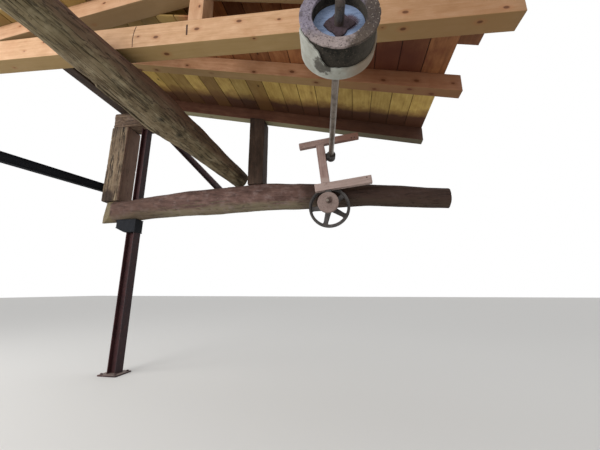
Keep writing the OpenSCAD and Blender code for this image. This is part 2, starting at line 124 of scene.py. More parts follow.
def wood(name, tones, stain, knot, crack, streak, dust=None, cracks=0, knots=5, knot_size=0.016, under=None,
         pale=None, worm=0, bump=0.25, rough=0.72, plank=False, odd=None, green=None, dust_share=0.35,
         mottle=0.3, stain_share=0.45, soils_and_shading=(), ring=None, knots_at=(), row_marks_and_shade=(), odd_share=0.75, gape=0.014,
         smooth=None):
    """Wood whose grain follows the piece's own grain attribute: distance along, across and up, in metres.

    Streaks are noise squeezed along the grain and mixed with blotches by mottle. Knots are the middles of
    scattered cells or lie at set places. Drying cracks are the thin zero line of a long noise, wider as they
    gape and faint on a smooth side. The plank attribute tones a board or darkens a groove. Faces that point
    down take the under and pale tones as painted light from below. Each soil lies on one side or round one
    place of the piece's grain, and each row mark does the same in the row frame; some are stains, dirt or
    holes, and some are painted light or painted shade.
    """
    add, shader = finish(name)
    coordinates = add("TexCoord", {})
    grain = add("Attribute", {}, attribute_name="grain").outputs["Vector"]
    wander = add("TexNoise", {"Vector": grain, "Scale": 1.6, "Detail": 2})
    bent = add("VectorMath", {0: wander.outputs["Color"], 1: (0, 0.05, 0.05), 2: grain}, "MULTIPLY_ADD")
    # Knots: one to a cell, longer than wide, a dark core in a browner ring
    cells = add("Mapping", {"Vector": bent, "Scale": (knots * 0.62, knots, knots)})
    cell = add("TexVoronoi", {"Vector": cells, "Scale": 1})
    size = knot_size * knots
    core, halo = (add("MapRange", {0: cell, 1: heart * size, 2: rim * size, 3: 1, 4: 0}, **EASED)
                  for heart, rim in ((0.6, 1.1), (1, 2.6)))
    if knots_at:
        # Knots at set places, 60 mm long and 36 mm high, each in a ring twice its size
        flat = add("VectorMath", {0: grain, 1: (0.6, 1, 1)}, "MULTIPLY")
        nearest = 1  # metre, farther than any knot reaches
        for x, y, z in knots_at:
            apart = add("VectorMath", {0: flat, 1: (0.6 * x, y, z)}, "DISTANCE")
            nearest = add("Math", {0: nearest, 1: apart.outputs["Value"]}, "MINIMUM")
        frayed = add("Math", {0: wander, 1: 0.02, 2: nearest}, "MULTIPLY_ADD")
        set_core, set_halo = (add("MapRange", {0: frayed, 1: rim, 2: heart}, **EASED)
                              for rim, heart in ((0.034, 0.022), (0.065, 0.028)))
        core = add("Math", {0: core, 1: set_core}, "MAXIMUM")
        halo = add("Math", {0: halo, 1: set_halo}, "MAXIMUM")
    # Streaks of early and late wood, pushed aside round each knot
    pushed = add("VectorMath", {0: halo, 1: (0, 0.012, 0.012), 2: bent}, "MULTIPLY_ADD")
    squeezed = add("Mapping", {"Vector": pushed, "Scale": (1.1, streak, streak)})
    lines = add("TexNoise", {"Vector": squeezed, "Scale": 1, "Detail": 6, "Roughness": 0.6,
                             "Distortion": 0.2})
    blotch = add("Mapping", {"Vector": bent, "Scale": (5, 11, 11)})
    blotches = add("TexNoise", {"Vector": blotch, "Scale": 1, "Detail": 7, "Roughness": 0.62})
    height = add("Mix", {0: mottle, 2: lines, 3: blotches}, data_type="FLOAT")
    ramp = add("ValToRGB", {0: height})
    stops = ramp.color_ramp.elements
    while len(stops) < len(tones):
        stops.new(0.5)
    for stop, place, tone in zip(stops, np.linspace(0.32, 0.68, len(tones)).tolist(), tones):
        stop.position = place
        stop.color = linear(tone)
    # Slow stains, about half a metre across
    colour = over(add, ramp, stain, patchy(add, grain, 0.5, 0.72, 2.6, 5, 0.6), stain_share)
    level = add("SeparateXYZ", {0: coordinates.outputs["Normal"]})
    down = add("MapRange", {0: level.outputs[2], 1: -0.35, 2: -0.9}, **EASED)
    # Painted light: faces that point down take the under tone, as if lit from below
    if under:
        colour = over(add, colour, under, down, 0.75)
    if pale:
        # Painted light: pale streaks along the underside, as if lit from below
        colour = over(add, colour, pale, add("Math", {0: down, 1: lines}, "MULTIPLY"), 1.5)
    if green:
        colour = over(add, colour, green, patchy(add, grain, 0.45, 0.62, 1.7, 5), 0.5)
    if dust:
        # Dust and bleaching lie in blotches a hand wide
        colour = over(add, colour, dust, patchy(add, grain, 0.48, 0.7, 9, 6, 0.65), dust_share)
    colour = soiled_or_shaded(add, colour, grain, 6, soils_and_shading)
    colour = soiled_or_shaded(add, colour, coordinates.outputs["Object"], 2.6, row_marks_and_shade)
    if plank:
        # Each board has its own tone, and grooves are dark
        own = add("Attribute", {}, attribute_name="plank").outputs["Fac"]
        if odd:
            picked = add("MapRange", {0: own, 1: 0.34, 2: 0.26})
            colour = over(add, colour, odd, picked, odd_share)
        value = add("MapRange", {0: own, 1: -1, 2: 1, 3: 0.12, 4: 1.14})
        colour = add("HueSaturation", {"Color": colour, "Value": value})
    colour = over(add, colour, ring or tones[0], halo, 0.4)
    colour = over(add, colour, knot, core, 0.92)
    if cracks:
        long = add("Mapping", {"Vector": bent, "Scale": (0.9, 17, 17)})
        split = add("TexNoise", {"Vector": long, "Scale": 1, "Detail": 3})
        away = add("Math", {0: split, 1: 0.5}, "SUBTRACT")
        near = add("Math", {0: away}, "ABSOLUTE")
        thin = add("MapRange", {0: near, 1: 0.2 * gape, 2: gape, 3: 1, 4: 0}, **EASED)
        if smooth:
            rough_side = add("Math", {0: 1, 1: masked(add, grain, 6, *smooth)}, "SUBTRACT")
            thin = add("Math", {0: thin, 1: rough_side}, "MULTIPLY")
        colour = over(add, colour, crack, thin, cracks)
        height = add("Math", {0: height, 1: thin}, "SUBTRACT")
    if worm:
        # Worm holes, 3 mm across, drawn about 9 mm so that they show
        holes = add("TexVoronoi", {"Vector": grain, "Scale": 24})
        bored = add("MapRange", {0: holes, 1: 0.08, 2: 0.13, 3: 1, 4: 0})
        colour = over(add, colour, crack, bored, worm)
        height = add("Math", {0: height, 1: bored}, "SUBTRACT")
    bumps = add("Bump", {"Height": height, "Strength": bump, "Distance": 0.006})
    feed(shader, {"Base Color": colour, "Roughness": rough, "IOR": 1.46, "Specular IOR Level": 0.3,
                  "Normal": bumps})


def metal(name, base, dark, worn, rough=0.6, metallic=0, patch=7, grit=90, worn_share=0.5, dark_share=0.6,
          bump=0.25, dust=None, dust_share=0.5, soils_and_shading=(), brushed=None, flecks=None, shine=0.4):
    """Metal, paint or cloth: a base tone, darker patches, worn or rusted spots, and dust on what faces up.

    Each soil is a tone laid on one side or round one place, and on the red primer it is painted shade;
    brushed stretches the patches along one axis, and flecks are chips or spots a few millimetres across.
    """
    add, shader = finish(name)
    coordinates = add("TexCoord", {})
    where = coordinates.outputs["Object"]
    stretched = add("Mapping", {"Vector": where, "Scale": brushed}) if brushed else where
    spots = add("TexNoise", {"Vector": where, "Scale": patch * 5.3, "Detail": 5, "Roughness": 0.7})
    bare = add("MapRange", {0: spots, 1: 0.54, 2: 0.64}, **EASED)
    colour = over(add, linear(base), dark, patchy(add, stretched, 0.44, 0.64, patch, 6, 0.62), dark_share)
    colour = soiled_or_shaded(add, colour, where, 14, soils_and_shading)
    colour = over(add, colour, worn, bare, worn_share)
    if flecks:
        colour = over(add, colour, flecks, patchy(add, where, 0.6, 0.68, 62, 4, 0.7), 0.75)
    if dust:
        facing = add("SeparateXYZ", {0: coordinates.outputs["Normal"]})
        up = add("MapRange", {0: facing.outputs[2], 1: 0.2, 2: 0.95}, **EASED)
        colour = over(add, colour, dust, up, dust_share)
    uneven = add("MapRange", {0: spots, 1: 0.3, 2: 0.7, 3: rough - 0.12, 4: rough + 0.12})
    grains = add("TexNoise", {"Vector": where, "Scale": grit, "Detail": 3})
    height = add("Math", {0: grains, 1: bare}, "ADD")
    bumps = add("Bump", {"Height": height, "Strength": bump, "Distance": 0.002})
    feed(shader, {"Base Color": colour, "Metallic": metallic, "Specular IOR Level": shine,
                  "Roughness": uneven, "Normal": bumps})


# Finishes

# Old log, hewn and smoke-stained: purplish red brown, olive at its sawn left end, brown black to the right;
# pale streaks along its underside are painted light
wood("old_log_red", ["#402d27", "#563f38", "#674e46", "#7b635a"], stain="#402d27", dust="#82706c",
     knot="#2c1c16", crack="#20150f", cracks=0.35, gape=0.02, streak=22, knots=3.4, knot_size=0.018,
     pale="#7a715a", bump=0.4, rough=0.8, mottle=0.75, plank=True, dust_share=0.5,
     soils_and_shading=[("way", RIGHT, 2.9, 3.5, "#33231b", 0.85, 0.5), ("way", LEFT, -1, -0.3, "#463228", 0.5, 0.4),
            ("way", LEFT, 0.37, 0.43, "#6c6046", 0.85, 0.06)])
# Weathered log without bark, knotty and wormed: olive grey below, streaked brown on its upper right side
LOG_FLANK = (0, 0.643, 0.766)
wood("old_log_grey", ["#403427", "#655741", "#7e7058", "#998d73"], stain="#4a3c2a", knot="#2b1e13",
     crack="#1a130c", dust="#93896f", cracks=0.6, gape=0.022, streak=26, knots=3, knot_size=0.02,
     worm=0.6, green="#685e44", bump=0.9, rough=0.86, mottle=0.8, plank=True,
     soils_and_shading=[("way", LOG_FLANK, 0.03, 0.12, "#5a4334", 0.7, 0.16),
            ("way", LOG_FLANK, 0.16, 0.22, "#6a4a3c", 0.6, 0.1)])
# Squared oak, rough and dusty, cracked along its grain
OAK = dict(knot="#221711", knots=3.6, knot_size=0.018, rough=0.84)
wood("old_oak", ["#37291f", "#5a4739", "#75614f", "#94806b"], stain="#3b2b21", crack="#17100b",
     dust="#84736a", cracks=0.6, streak=34, worm=0.4, bump=0.8, **OAK)
# The same oak in the post, its front bleached and split, its right side smoother and given a lighter pink
# tone as painted light, its foot stained
wood("weathered_oak", ["#3a2b20", "#615040", "#7c6a54", "#9a8a70"], stain="#4a3a2c", crack="#130d09",
     dust="#8a7c6a", cracks=0.9, streak=26, worm=0.5, bump=1, mottle=0.45, gape=0.045,
     smooth=("way", UP, 0.15, 0.18, 0.02),
     soils_and_shading=[("way", UP, 0.158, 0.17, "#80665a", 0.75, 0.012),
            ("ball", (0.08, -0.175, -0.05), 0.19, 0.09, "#2c201a", 0.85, 0.14),
            ("ball", (1.5, -0.175, -0.1), 0.26, 0.1, "#4a3b30", 0.6, 0.2)], **OAK)
# Oak darkened almost to black by smoke
wood("dark_oak", ["#22170f", "#30231a", "#3c2c22", "#4d3b2f"], stain="#1c130e", knot="#120b08",
     crack="#0b0705", dust="#5a483c", cracks=0.4, streak=36, knots=3.6, bump=0.5, rough=0.8,
     dust_share=0.25, mottle=0.5)
# Planed and sawn pine, new: pale salmon with brown knots, more olive where it faces down as painted light
# from below
PINE = dict(knot="#573016", crack="#6b4a30", streak=46, knots=4.6, bump=0.1, rough=0.58, mottle=0.55)
wood("new_pine", ["#9a7353", "#ab8260", "#b58d6c", "#c19b7b"], stain="#a27250", under="#927d57",
     ring="#96603a", stain_share=0.35, **PINE)
# The same pine, with the cross beam's own knots, darker towards its right end as painted shade, and olive
# where it faces down as painted light
wood("beam_pine", ["#9c7755", "#ae8762", "#ba9370", "#c6a281"], stain="#a67853", under="#907a4b",
     ring="#96603a", stain_share=0.35, row_marks_and_shade=[("way", RIGHT, 3.7, 5, "#7d5430", 0.5, 0.5)],
     knots_at=[(2.712, -0.108, -0.035), (3.226, -0.108, 0.02), (3.729, -0.108, 0.067), (5.451, -0.108, -0.04),
               (6.318, -0.108, -0.1), (2.78, 0.018, -0.155), (6.124, -0.031, -0.155), (5.433, -0.03, -0.155),
               (1.1, -0.108, 0.06), (4.5, 0.02, -0.155)], **PINE)
# The rafter behind it, redder and deeper in tone, darker towards its right end as painted shade, and olive
# where it faces down as painted light
wood("rafter_pine", ["#93694a", "#a67a58", "#b18664", "#bd9372"], stain="#8e5e42", under="#8c7548",
     ring="#6e3f26", row_marks_and_shade=[("way", RIGHT, 3, 4.6, "#6a3822", 0.6, 0.5)],
     knots_at=[(3.381, -0.073, -0.08), (3.944, -0.073, -0.03), (5.161, -0.073, -0.05), (5.565, -0.073, -0.02),
               (1.7, 0.02, -0.11), (1.375, 0.05, -0.11), (4.273, 0, -0.11), (5.054, 0.03, -0.11),
               (5.483, -0.02, -0.11), (5.755, 0.03, -0.11), (2.3, -0.073, -0.06)], **PINE)
# The rafter over the tie beam: its pine darkened brown all over and darker still towards its right end, both
# painted shade, and its underside pale as painted light from below
wood("shaded_pine", ["#4f3023", "#5c3a2b", "#694635", "#765241"], stain="#482a1f", under="#8e8a66",
     ring="#3a2118", stain_share=0.5, row_marks_and_shade=[("way", RIGHT, 2.8, 4.6, "#2b1911", 0.65, 0.5)], **PINE)
# Roof boards of the nearer bay: orange brown pine, some of them dark red
BOARDS = dict(streak=40, knot_size=0.015, bump=0.12, rough=0.62, plank=True, mottle=0.6)
wood("roof_board", ["#6e452a", "#855433", "#96633d", "#a27149"], stain="#6a3420", knot="#2e170b",
     crack="#3a2212", odd="#63301e", ring="#5a3018", odd_share=0.5, stain_share=0.6,
     row_marks_and_shade=[("way", LEFT, -2.05, -1.75, "#8f7a45", 0.85, 0.3),
            ("ball", (4.55, -1.4, 4.06), 0.5, 0.15, "#4c1f14", 0.8, 0.3)], **BOARDS)
# Roof boards of the farther bay: yellower and greener, darkened towards the rafter over the tie beam as that
# rafter's painted shadow
wood("roof_board_back", ["#93763f", "#ad8f4c", "#bc9f58", "#caad66"], stain="#8c6637", knot="#33240f",
     crack="#3a2c14", odd="#865f33", ring="#6e4e28", odd_share=0.6,
     row_marks_and_shade=[("way", AWAY, -0.56, -0.4, "#6a4426", 0.7, 0.5),
            ("way", AWAY, -0.42, -0.3, "#43231a", 0.9, 0.3)], **BOARDS)
# Old sawn boards of the bracket: pinkish grey brown, never painted, with empty nail holes
NAIL_HOLES = ((4, -0.43, 3.652), (4.046, -0.43, 3.658), (4.2, -0.43, 2.985))
wood("bracket_board", ["#7b645d", "#8c746d", "#9b837c", "#aa938c"], stain="#7f6458", knot="#4a3327",
     crack="#3a2820", dust="#a29089", cracks=0.15, streak=50, knot_size=0.009, bump=0.3, rough=0.82,
     mottle=0.5,
     row_marks_and_shade=[("ball", (4, -0.43, 3.66), 0.45, 0.15, "#74452f", 0.6, 0.1),
            ("way", DOWN, -3.04, -3, "#ac9a92", 0.5, 0.02)]
     + [("ball", hole, 0.013, 0.008, "#1d120d", 0.95, 0.004) for hole in NAIL_HOLES])
# Rolled steel in worn red brown primer. Everything right of x = 0.06 is darker: painted shade on the column's
# right flange and the stub's right edge, and the same tone over the right of the base plate and the whole
# brace
metal("red_primer_steel", "#422526", "#241418", "#6a4540", rough=0.7, patch=3.2, worn_share=0.25,
      dust="#a08f86", shine=0.3, soils_and_shading=[("way", RIGHT, 0.055, 0.062, "#1e1418", 0.7, 0.006)])
# Rolled steel painted black, blue black in the light
metal("black_steel", "#17191e", "#0d0e11", "#353437", rough=0.8, patch=4, worn_share=0.2, dust="#75726f",
      dust_share=0.55, shine=0.2)
# Cast iron, dark grey and dusty
metal("dark_iron", "#4a4644", "#2b2827", "#6b625b", rough=0.68, metallic=0.2, worn_share=0.35, dust="#8b8078")
# Turned shaft steel, dull and brown grey with old oil
metal("shaft_steel", "#8a8076", "#51473e", "#a89d92", rough=0.36, metallic=0.8, patch=11, worn_share=0.45,
      bump=0.2, shine=0.5)
# Planks of the drum's mouth: dusty lilac grey, beige below, with brown dirt caked on the right
metal("drum_wood", "#7d7581", "#4e454c", "#342b2e", rough=0.88, patch=13, worn_share=0.8, dark_share=0.75,
      bump=1, grit=60, flecks="#c2b8aa",
      soils_and_shading=[("way", DOWN, -3.31, -3.16, "#978880", 0.75, 0.1),
             ("way", (0.94, 0, -0.34), 2.63, 2.71, "#43372b", 0.9, 0.2)])
# Bare side of the drum under the torn lagging: dark grey green
metal("drum_side", "#35312b", "#191814", "#665c50", rough=0.9, patch=11, dark_share=0.9, bump=0.9, shine=0.2,
      soils_and_shading=[("way", RIGHT, 3.95, 4.15, "#4a443b", 0.7, 0.12)])
# Belt lagging of pale canvas and plaster dust, browner on the right, grimed where it is torn
metal("drum_lagging", "#a3a49b", "#858379", "#777468", rough=0.9, patch=5.5, worn_share=0.3, dark_share=0.5,
      bump=0.4, grit=140,
      soils_and_shading=[("way", RIGHT, 3.86, 4.08, "#857360", 0.9, 0.16),
             ("ball", (3.74, -2.53, 3.12), 0.09, 0.055, "#342e26", 0.85, 0.2)])
# Plate behind the drum's mouth: pale blue grey paint, brushed on
metal("hub_plate", "#8496b6", "#5f7090", "#b3bfd0", rough=0.62, patch=26, worn_share=0.6, dark_share=0.75,
      bump=0.6, brushed=(0.35, 1, 1.3),
      soils_and_shading=[("ball", (3.985, -2.61, 3.43), 0.085, 0.05, "#442428", 0.9, 0.06)])
# Rust-brown plate round the shaft
metal("hub_rust", "#45363c", "#2a1b1b", "#6e5c60", rough=0.82, patch=22, dark_share=0.8, bump=0.8)
# Pale disc, dusty pinkish grey with brown specks, and a brown stain round its middle
metal("pale_disc", "#84726b", "#6c5951", "#4f3d36", rough=0.84, patch=9, worn_share=0.25, dark_share=0.5,
      bump=0.35, flecks="#4a372f", soils_and_shading=[("ball", (3.645, -0.56, 2.625), 0.06, 0.03, "#38261f", 0.85, 0.07)])
# Shadowed saw cuts and pencil lines
metal("dark_mark", "#40281c", "#2c1a12", "#55392a", rough=0.9, bump=0)

# Surfaces


def relief(u, v, seed, cells_u, cells_v, octaves=3):
    """Smooth noise in -1..1 over u and v in 0..1: a seeded table of random heights read with eased weights.

    Each octave doubles the cells and halves the height. v wraps round.
    """
    draw = np.random.default_rng(seed)
    total, height, most = 0.0, 1.0, 0.0
    for octave in range(octaves):
        rows, columns = cells_u * 2**octave, cells_v * 2**octave
        table = draw.uniform(-1, 1, (rows + 2, columns))
        a, b = np.clip(u, 0, 1) * rows, (v % 1.0) * columns
        i, j = np.floor(a).astype(int), np.floor(b).astype(int)
        s, t = a - i, b - j
        s, t = s * s * (3 - 2 * s), t * t * (3 - 2 * t)
        j, k = j % columns, (j + 1) % columns
        low = table[i, j] * (1 - t) + table[i, k] * t
        high = table[i + 1, j] * (1 - t) + table[i + 1, k] * t
        total = total + height * (low * (1 - s) + high * s)
        most += height
        height /= 2
    return total / most


def stacked(*parts):
    """Points from their three coordinates, which are spread to one shape."""
    return np.stack(np.broadcast_arrays(*parts), -1)


def outward(points, faces):
    """Turns a closed shell's faces the other way if its signed volume is negative."""
    volume = 0.0
    for size in {len(f) for f in faces}:
        ring = np.array([f for f in faces if len(f) == size])
        for k in range(1, size - 1):
            a, b, c = points[ring[:, 0]], points[ring[:, k]], points[ring[:, k + 1]]
            volume += float(np.einsum("ij,ij->", a, np.cross(b, c)))
    return faces if volume > 0 else [f[::-1] for f in faces]


def tube(grid, grain=None, ring=False):
    """A closed skin over a grid of rings by sides: quads between rings, and a fan over each end.

    With ring=True the last ring joins the first, as on a torus. grain is the same grid in the piece's own
    frame.
    """
    rings, sides, _ = grid.shape
    own = grid if grain is None else grain
    i, j = np.arange(rings if ring else rings - 1)[:, None], np.arange(sides)
    below, above, after = i * sides, (i + 1) % rings * sides, (j + 1) % sides
    faces = np.stack([below + j, below + after, above + after, above + j], -1).reshape(-1, 4).tolist()
    points, places = grid.reshape(-1, 3), own.reshape(-1, 3)
    if not ring:
        middle, last = 0 * j + rings * sides, (rings - 1) * sides
        points = np.vstack([points, grid[0].mean(0), grid[-1].mean(0)])
        places = np.vstack([places, own[0].mean(0), own[-1].mean(0)])
        faces += np.stack([middle, after, j], -1).tolist()
        faces += np.stack([middle + 1, last + j, last + after], -1).tolist()
    return points, outward(points, faces), places


def merge(skins):
    """Several skins as one."""
    points, faces, own, start = [], [], [], 0
    for p, f, g in skins:
        points.append(p)
        own.append(g)
        faces += [[v + start for v in face] for face in f]
        start += len(p)
    return np.vstack(points), faces, np.vstack(own)


def piece(name, skin, look, node=None, body="frame", sharp=35, plank=None):
    """Puts a skin into a mesh, hangs it on its body's empty, and hides the CAD part that it stands for."""
    points, faces, own = skin
    mesh = bpy.data.meshes.new(name)
    mesh.from_pydata(points.tolist(), [], faces)
    mesh.update()
    mesh.shade_smooth()
    mesh.set_sharp_from_angle(angle=math.radians(sharp))
    stored = mesh.attributes.new("grain", "FLOAT_VECTOR", "POINT")
    stored.data.foreach_set("vector", np.asarray(own, np.float32).ravel())
    if plank is not None:
        tones = mesh.attributes.new("plank", "FLOAT", "POINT")
        tones.data.foreach_set("value", np.asarray(plank, np.float32))
    mesh.materials.append(finishes[look])
    obj = bpy.data.objects.new(name, mesh)
    bpy.context.scene.collection.objects.link(obj)
    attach(obj, body)
    if node:
        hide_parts(node)


def turned(axis, degrees, place=(0, 0, 0)):
    """A frame turned about y or z and moved to a place: its rotation and its shift."""
    c, s = math.cos(math.radians(degrees)), math.sin(math.radians(degrees))
    turn = [[c, 0, s], [0, 1, 0], [-s, 0, c]] if axis == "y" else [[c, -s, 0], [s, c, 0], [0, 0, 1]]
    return np.array(turn), np.array(place)


def placed(skin, where):
    """A skin moved from its own frame to a place in the row frame."""
    turn, shift = where
    return skin[0] @ turn.T + shift, skin[1], skin[2]


CORNER_STEPS = 4


def section_pattern(side_steps):
    """Points round a rounded rectangle: corner signs for its half sizes and directions for its radius."""
    signs = [(1, 1), (-1, 1), (-1, -1), (1, -1)]
    corner, out = [], []
    for k, (sx, sz) in enumerate(signs):
        angles = np.linspace(0, np.pi / 2, CORNER_STEPS + 1) + k * np.pi / 2
        nx, nz = signs[(k + 1) % 4]
        shares = np.linspace(0, 1, side_steps + 2)[1:-1]
        corner += [(sx, sz)] * len(angles) + [(sx + (nx - sx) * t, sz + (nz - sz) * t) for t in shares]
        out += list(zip(np.cos(angles), np.sin(angles)))
        out += [out[-1]] * side_steps
    return np.array(corner, float), np.array(out, float)


def timber(low, high, across, rounding=0.005, wear=0.0012, seed=1, step=0.06, side_steps=10, slow=0,
           pits=0, shifted=True):
    """A sawn or hewn bar with rounded arrises.

    low and high are the middles of its lower and upper side at stations along it, and across is its
    width as a vector. The section is a rounded rectangle; slow noise moves its skin in and out by wear,
    a slower one bends its sides by slow, and its ends are eased in by the same rounding. Its grain is
    shifted by chance, so that no two bars look alike, unless its finish has knots at set places.
    """
    low, high, across = np.array(low, float), np.array(high, float), np.array(across, float)
    run = np.concatenate([[0], np.cumsum(np.linalg.norm(np.diff((low + high) / 2, axis=0), axis=1))])
    length, width = run[-1], np.linalg.norm(across)
    count = max(6, int(length / step))
    start, drawn_in = rounding * np.array([0, 0.3, 1]), rounding * np.array([0.9, 0.3, 0])
    between = np.linspace(rounding, length - rounding, count)[1:-1]
    along = np.concatenate([start, between, length - start[::-1]])
    inset = np.concatenate([drawn_in, np.zeros(count - 2), drawn_in[::-1]])[:, None]
    bottom, top = (np.stack([np.interp(along, run, side[:, k]) for k in range(3)], -1)
                   for side in (low, high))
    depth = np.maximum(np.linalg.norm(top - bottom, axis=1), 1e-4)[:, None]
    corner, out = section_pattern(side_steps)
    radius = np.minimum(rounding, depth * 0.45)
    u, v = (along / length)[:, None], np.linspace(0, 1, len(corner), endpoint=False)
    skin = wear * relief(u, v, seed, max(3, int(length / 0.35)), 9, 4)
    if slow:
        skin = skin + slow * relief(u, v, seed + 7, max(2, int(length / 0.9)), 4, 2)
    if pits:
        rough = relief(u, v, seed + 13, max(8, int(length / 0.05)), 30, 2)
        skin = skin - pits * np.clip(rough - 0.15, 0, 1)
    skin = radius + skin * np.clip(depth / (4 * rounding), 0, 1)
    across_at, up_at = ((size / 2 - radius - inset) * corner[:, k] + skin * out[:, k]
                        for k, size in enumerate((width, depth)))
    middle, up = (bottom + top) / 2, (top - bottom) / depth
    grid = middle[:, None] + across_at[..., None] * (across / width) + up_at[..., None] * up[:, None]
    offset = np.random.default_rng(seed).uniform(0, 40, 3)
    return tube(grid, stacked(along[:, None], across_at, up_at) + offset * shifted)


def bar(low, high, y, width, **how):
    """A timber whose lower and upper side run through points of x and z, with y at its middle."""
    low, high = ([(x, y, z) for x, z in side] for side in (low, high))
    return timber(low, high, [0, width, 0], **how)


def level(x0, x1, z0, z1, y, width, **how):
    """A level bar between two heights."""
    return bar([(x0, z0), (x1, z0)], [(x0, z1), (x1, z1)], y, width, **how)


def falling(x0, x1, z0, fall, depth, y, width, **how):
    """A bar that falls to the right with plumb ends: its underside passes z0 at x = 0."""
    low = [(x, z0 - fall * x) for x in (x0, x1)]
    return bar(low, [(x, z + depth) for x, z in low], y, width, **how)


def upright(x0, x1, z0, z1, width, z1_right=None, y=0.0, **how):
    """A post between two heights, its width along x from x0 to x1; its head may slope to z1_right."""
    return bar([(x0, z0), (x0, z1)], [(x1, z0), (x1, z1_right or z1)], y, width, **how)


def box_skin(low, high):
    """A plate between two corners, its edges eased."""
    (x0, y0, z0), (x1, y1, z1) = low, high
    return level(x0, x1, z0, z1, (y0 + y1) / 2, y1 - y0, rounding=0.002, wear=0.0, side_steps=1, step=0.2)


def prism(outline, start, end, u, v, cuts=(None, None)):
    """A rolled section or a plate: an outline in the plane of u and v carried from start to end.

    A cut is a plane, a point and a normal, that ends the prism there instead of square, if that is sooner.
    """
    outline, start, end, u, v = (np.array(a, float) for a in (outline, start, end, u, v))
    length = np.linalg.norm(end - start)
    away = (end - start) / length
    base = start + outline[:, :1] * u + outline[:, 1:] * v
    rims = []
    for reach, cut in zip((0.0, length), cuts):
        if cut:
            point, normal = np.array(cut, float)
            reach = np.clip(((point - base) @ normal) / (away @ normal), 0, length)[:, None]
        rims.append(base + reach * away)
    points, count = np.vstack(rims), len(outline)
    j = np.arange(count)
    k = (j + 1) % count
    faces = np.stack([j, k, k + count, j + count], -1).tolist() + [j[::-1].tolist(), (j + count).tolist()]
    return points, outward(points, faces), points


def arc(x, y, radius, start, end):
    """Points on a quarter of a circle round x and y, between two angles in degrees."""
    angles = np.radians(np.linspace(start, end, 5))
    return [(x + radius * math.cos(a), y + radius * math.sin(a)) for a in angles]


def i_outline(width, depth, flange, web, root):
    """An I section, flanges facing the first axis, with a fillet where each flange meets the web."""
    w, d, t = width / 2, depth / 2, web / 2 + root
    inner = w - flange
    x = inner - root
    return ([(w, -d), (w, d), (inner, d)] + arc(x, t, root, 0, -90) + arc(-x, t, root, 270, 180)
            + [(-inner, d), (-w, d), (-w, -d), (-inner, -d)]
            + arc(-x, -t, root, 180, 90) + arc(x, -t, root, 90, 0) + [(inner, -d)])


def circle(count):
    """Angles round a circle, down a column."""
    return np.linspace(0, 2 * np.pi, count, endpoint=False)[:, None]


def about_y(radius, along, angle):
    """Points at a radius from the local y axis, a distance along it and an angle round it."""
    return stacked(radius * np.cos(angle), along, radius * np.sin(angle))


def revolve(profile, steps=96, wobble=0.0, seed=0):
    """A closed profile of radius and distance along the axis, spun about the local y axis.

    wobble moves each radius by slow noise round the axis.
    """
    radius, along = np.array(profile, float).T
    a = circle(steps)
    if wobble:
        v = np.linspace(0, 1, len(profile), endpoint=False)
        radius = radius + wobble * relief(v, a / (2 * np.pi), seed, 6, 14, 3)
    return tube(about_y(radius, along, a), ring=True)


LIP = 0.003


def bush(bore, radius, start, end, steps=64):
    """A bored boss about the local y axis, its outer edges chamfered by a lip."""
    return revolve([(bore, start), (radius - LIP, start), (radius, start + LIP), (radius, end - LIP),
                    (radius - LIP, end), (bore, end)], steps)


def round_bar(radius, start, end, steps=64, ease=0.002, rings=2):
    """A turned bar along the local y axis, its ends chamfered by ease."""
    y = np.concatenate([[start], np.linspace(start + ease, end - ease, rings), [end]])
    r = np.concatenate([[radius - ease], np.full(rings, radius), [radius - ease]])
    return tube(about_y(r[:, None], y[:, None], circle(steps).T))


HEAD = 0.03


def hex_bolt(place, axis, height, washer):
    """A hexagon head 30 mm across its flats on a round washer, standing out from a place along an axis."""
    # Two directions square to the axis, from one that lies along none of the axes in use
    side = np.cross(axis, [0.31, 0.77, 0.56])
    side /= np.linalg.norm(side)
    other = np.cross(axis, side)
    corner, parts = HEAD * 0.577, []
    for sides, stations in ((24, [(washer, 0), (washer, 0.003)]),
                            (6, [(corner, 0.003), (corner, height - 0.002), (HEAD / 2, height)])):
        a = circle(sides)
        spokes = np.cos(a) * side + np.sin(a) * other
        parts.append(tube(np.array([place + r * spokes + h * np.array(axis) for r, h in stations])))
    return merge(parts)


# Heights and faces that several pieces share

COLUMN_TOP, SEAT_Z, BASE_T = 2.375, 2.615, 0.02
POST_FOOT, STUB_FOOT, KING_FOOT, BRACE_FOOT, LOG_SEAT = 2.96575, 2.98555, 3.119, 3.09319, 3.11234
SADDLE_FOOT, SADDLE_TOP, POST_LEFT = 4.49, 4.8, -0.635
RAFTER_Z, RAFTER_FALL, RAFTER_DEPTH, RAFTER_WIDTH = 4.96, 0.245, 0.22, 0.145
BEAM_Z, BEAM_FALL, BEAM_DEPTH, BEAM_Y, BEAM_WIDTH = 4.215, 0.078, 0.31, -2.02, 0.215
BEAM_FRONT, BEAM_BACK = -2.1275, -1.9125
NEAR_LEFT, NEAR_POST_LEFT, NEAR_POST_RIGHT, NEAR_RIGHT = -0.71, 2.19, 2.37, 5.56
NEAR_TOP, CHORD_DEPTH, LEFT_RISE, RIGHT_FALL = 5.08, 0.23, 0.09297, 0.25816


def on_beam(x, share):
    """Height of a point on the cross beam: its underside falls from x = 0, and share is up its depth."""
    return BEAM_Z - BEAM_FALL * x + BEAM_DEPTH * share


# Column of rolled steel, its base plate and its cradle

piece("column_section",
      prism(i_outline(0.16, 0.16, 0.014, 0.009, 0.012), [0, 0, BASE_T], [0, 0, COLUMN_TOP], RIGHT, AWAY),
      "red_primer_steel", "steel_column", sharp=40)
base = [box_skin([-0.17, -0.17, 0], [0.17, 0.17, BASE_T])]
base += [hex_bolt(np.array([x, y, BASE_T]), UP, 0.02, 0.026) for x in (-0.13, 0.13) for y in (-0.13, 0.13)]
piece("base_plate_and_nuts", merge(base), "red_primer_steel", "column_base_plate", sharp=40)
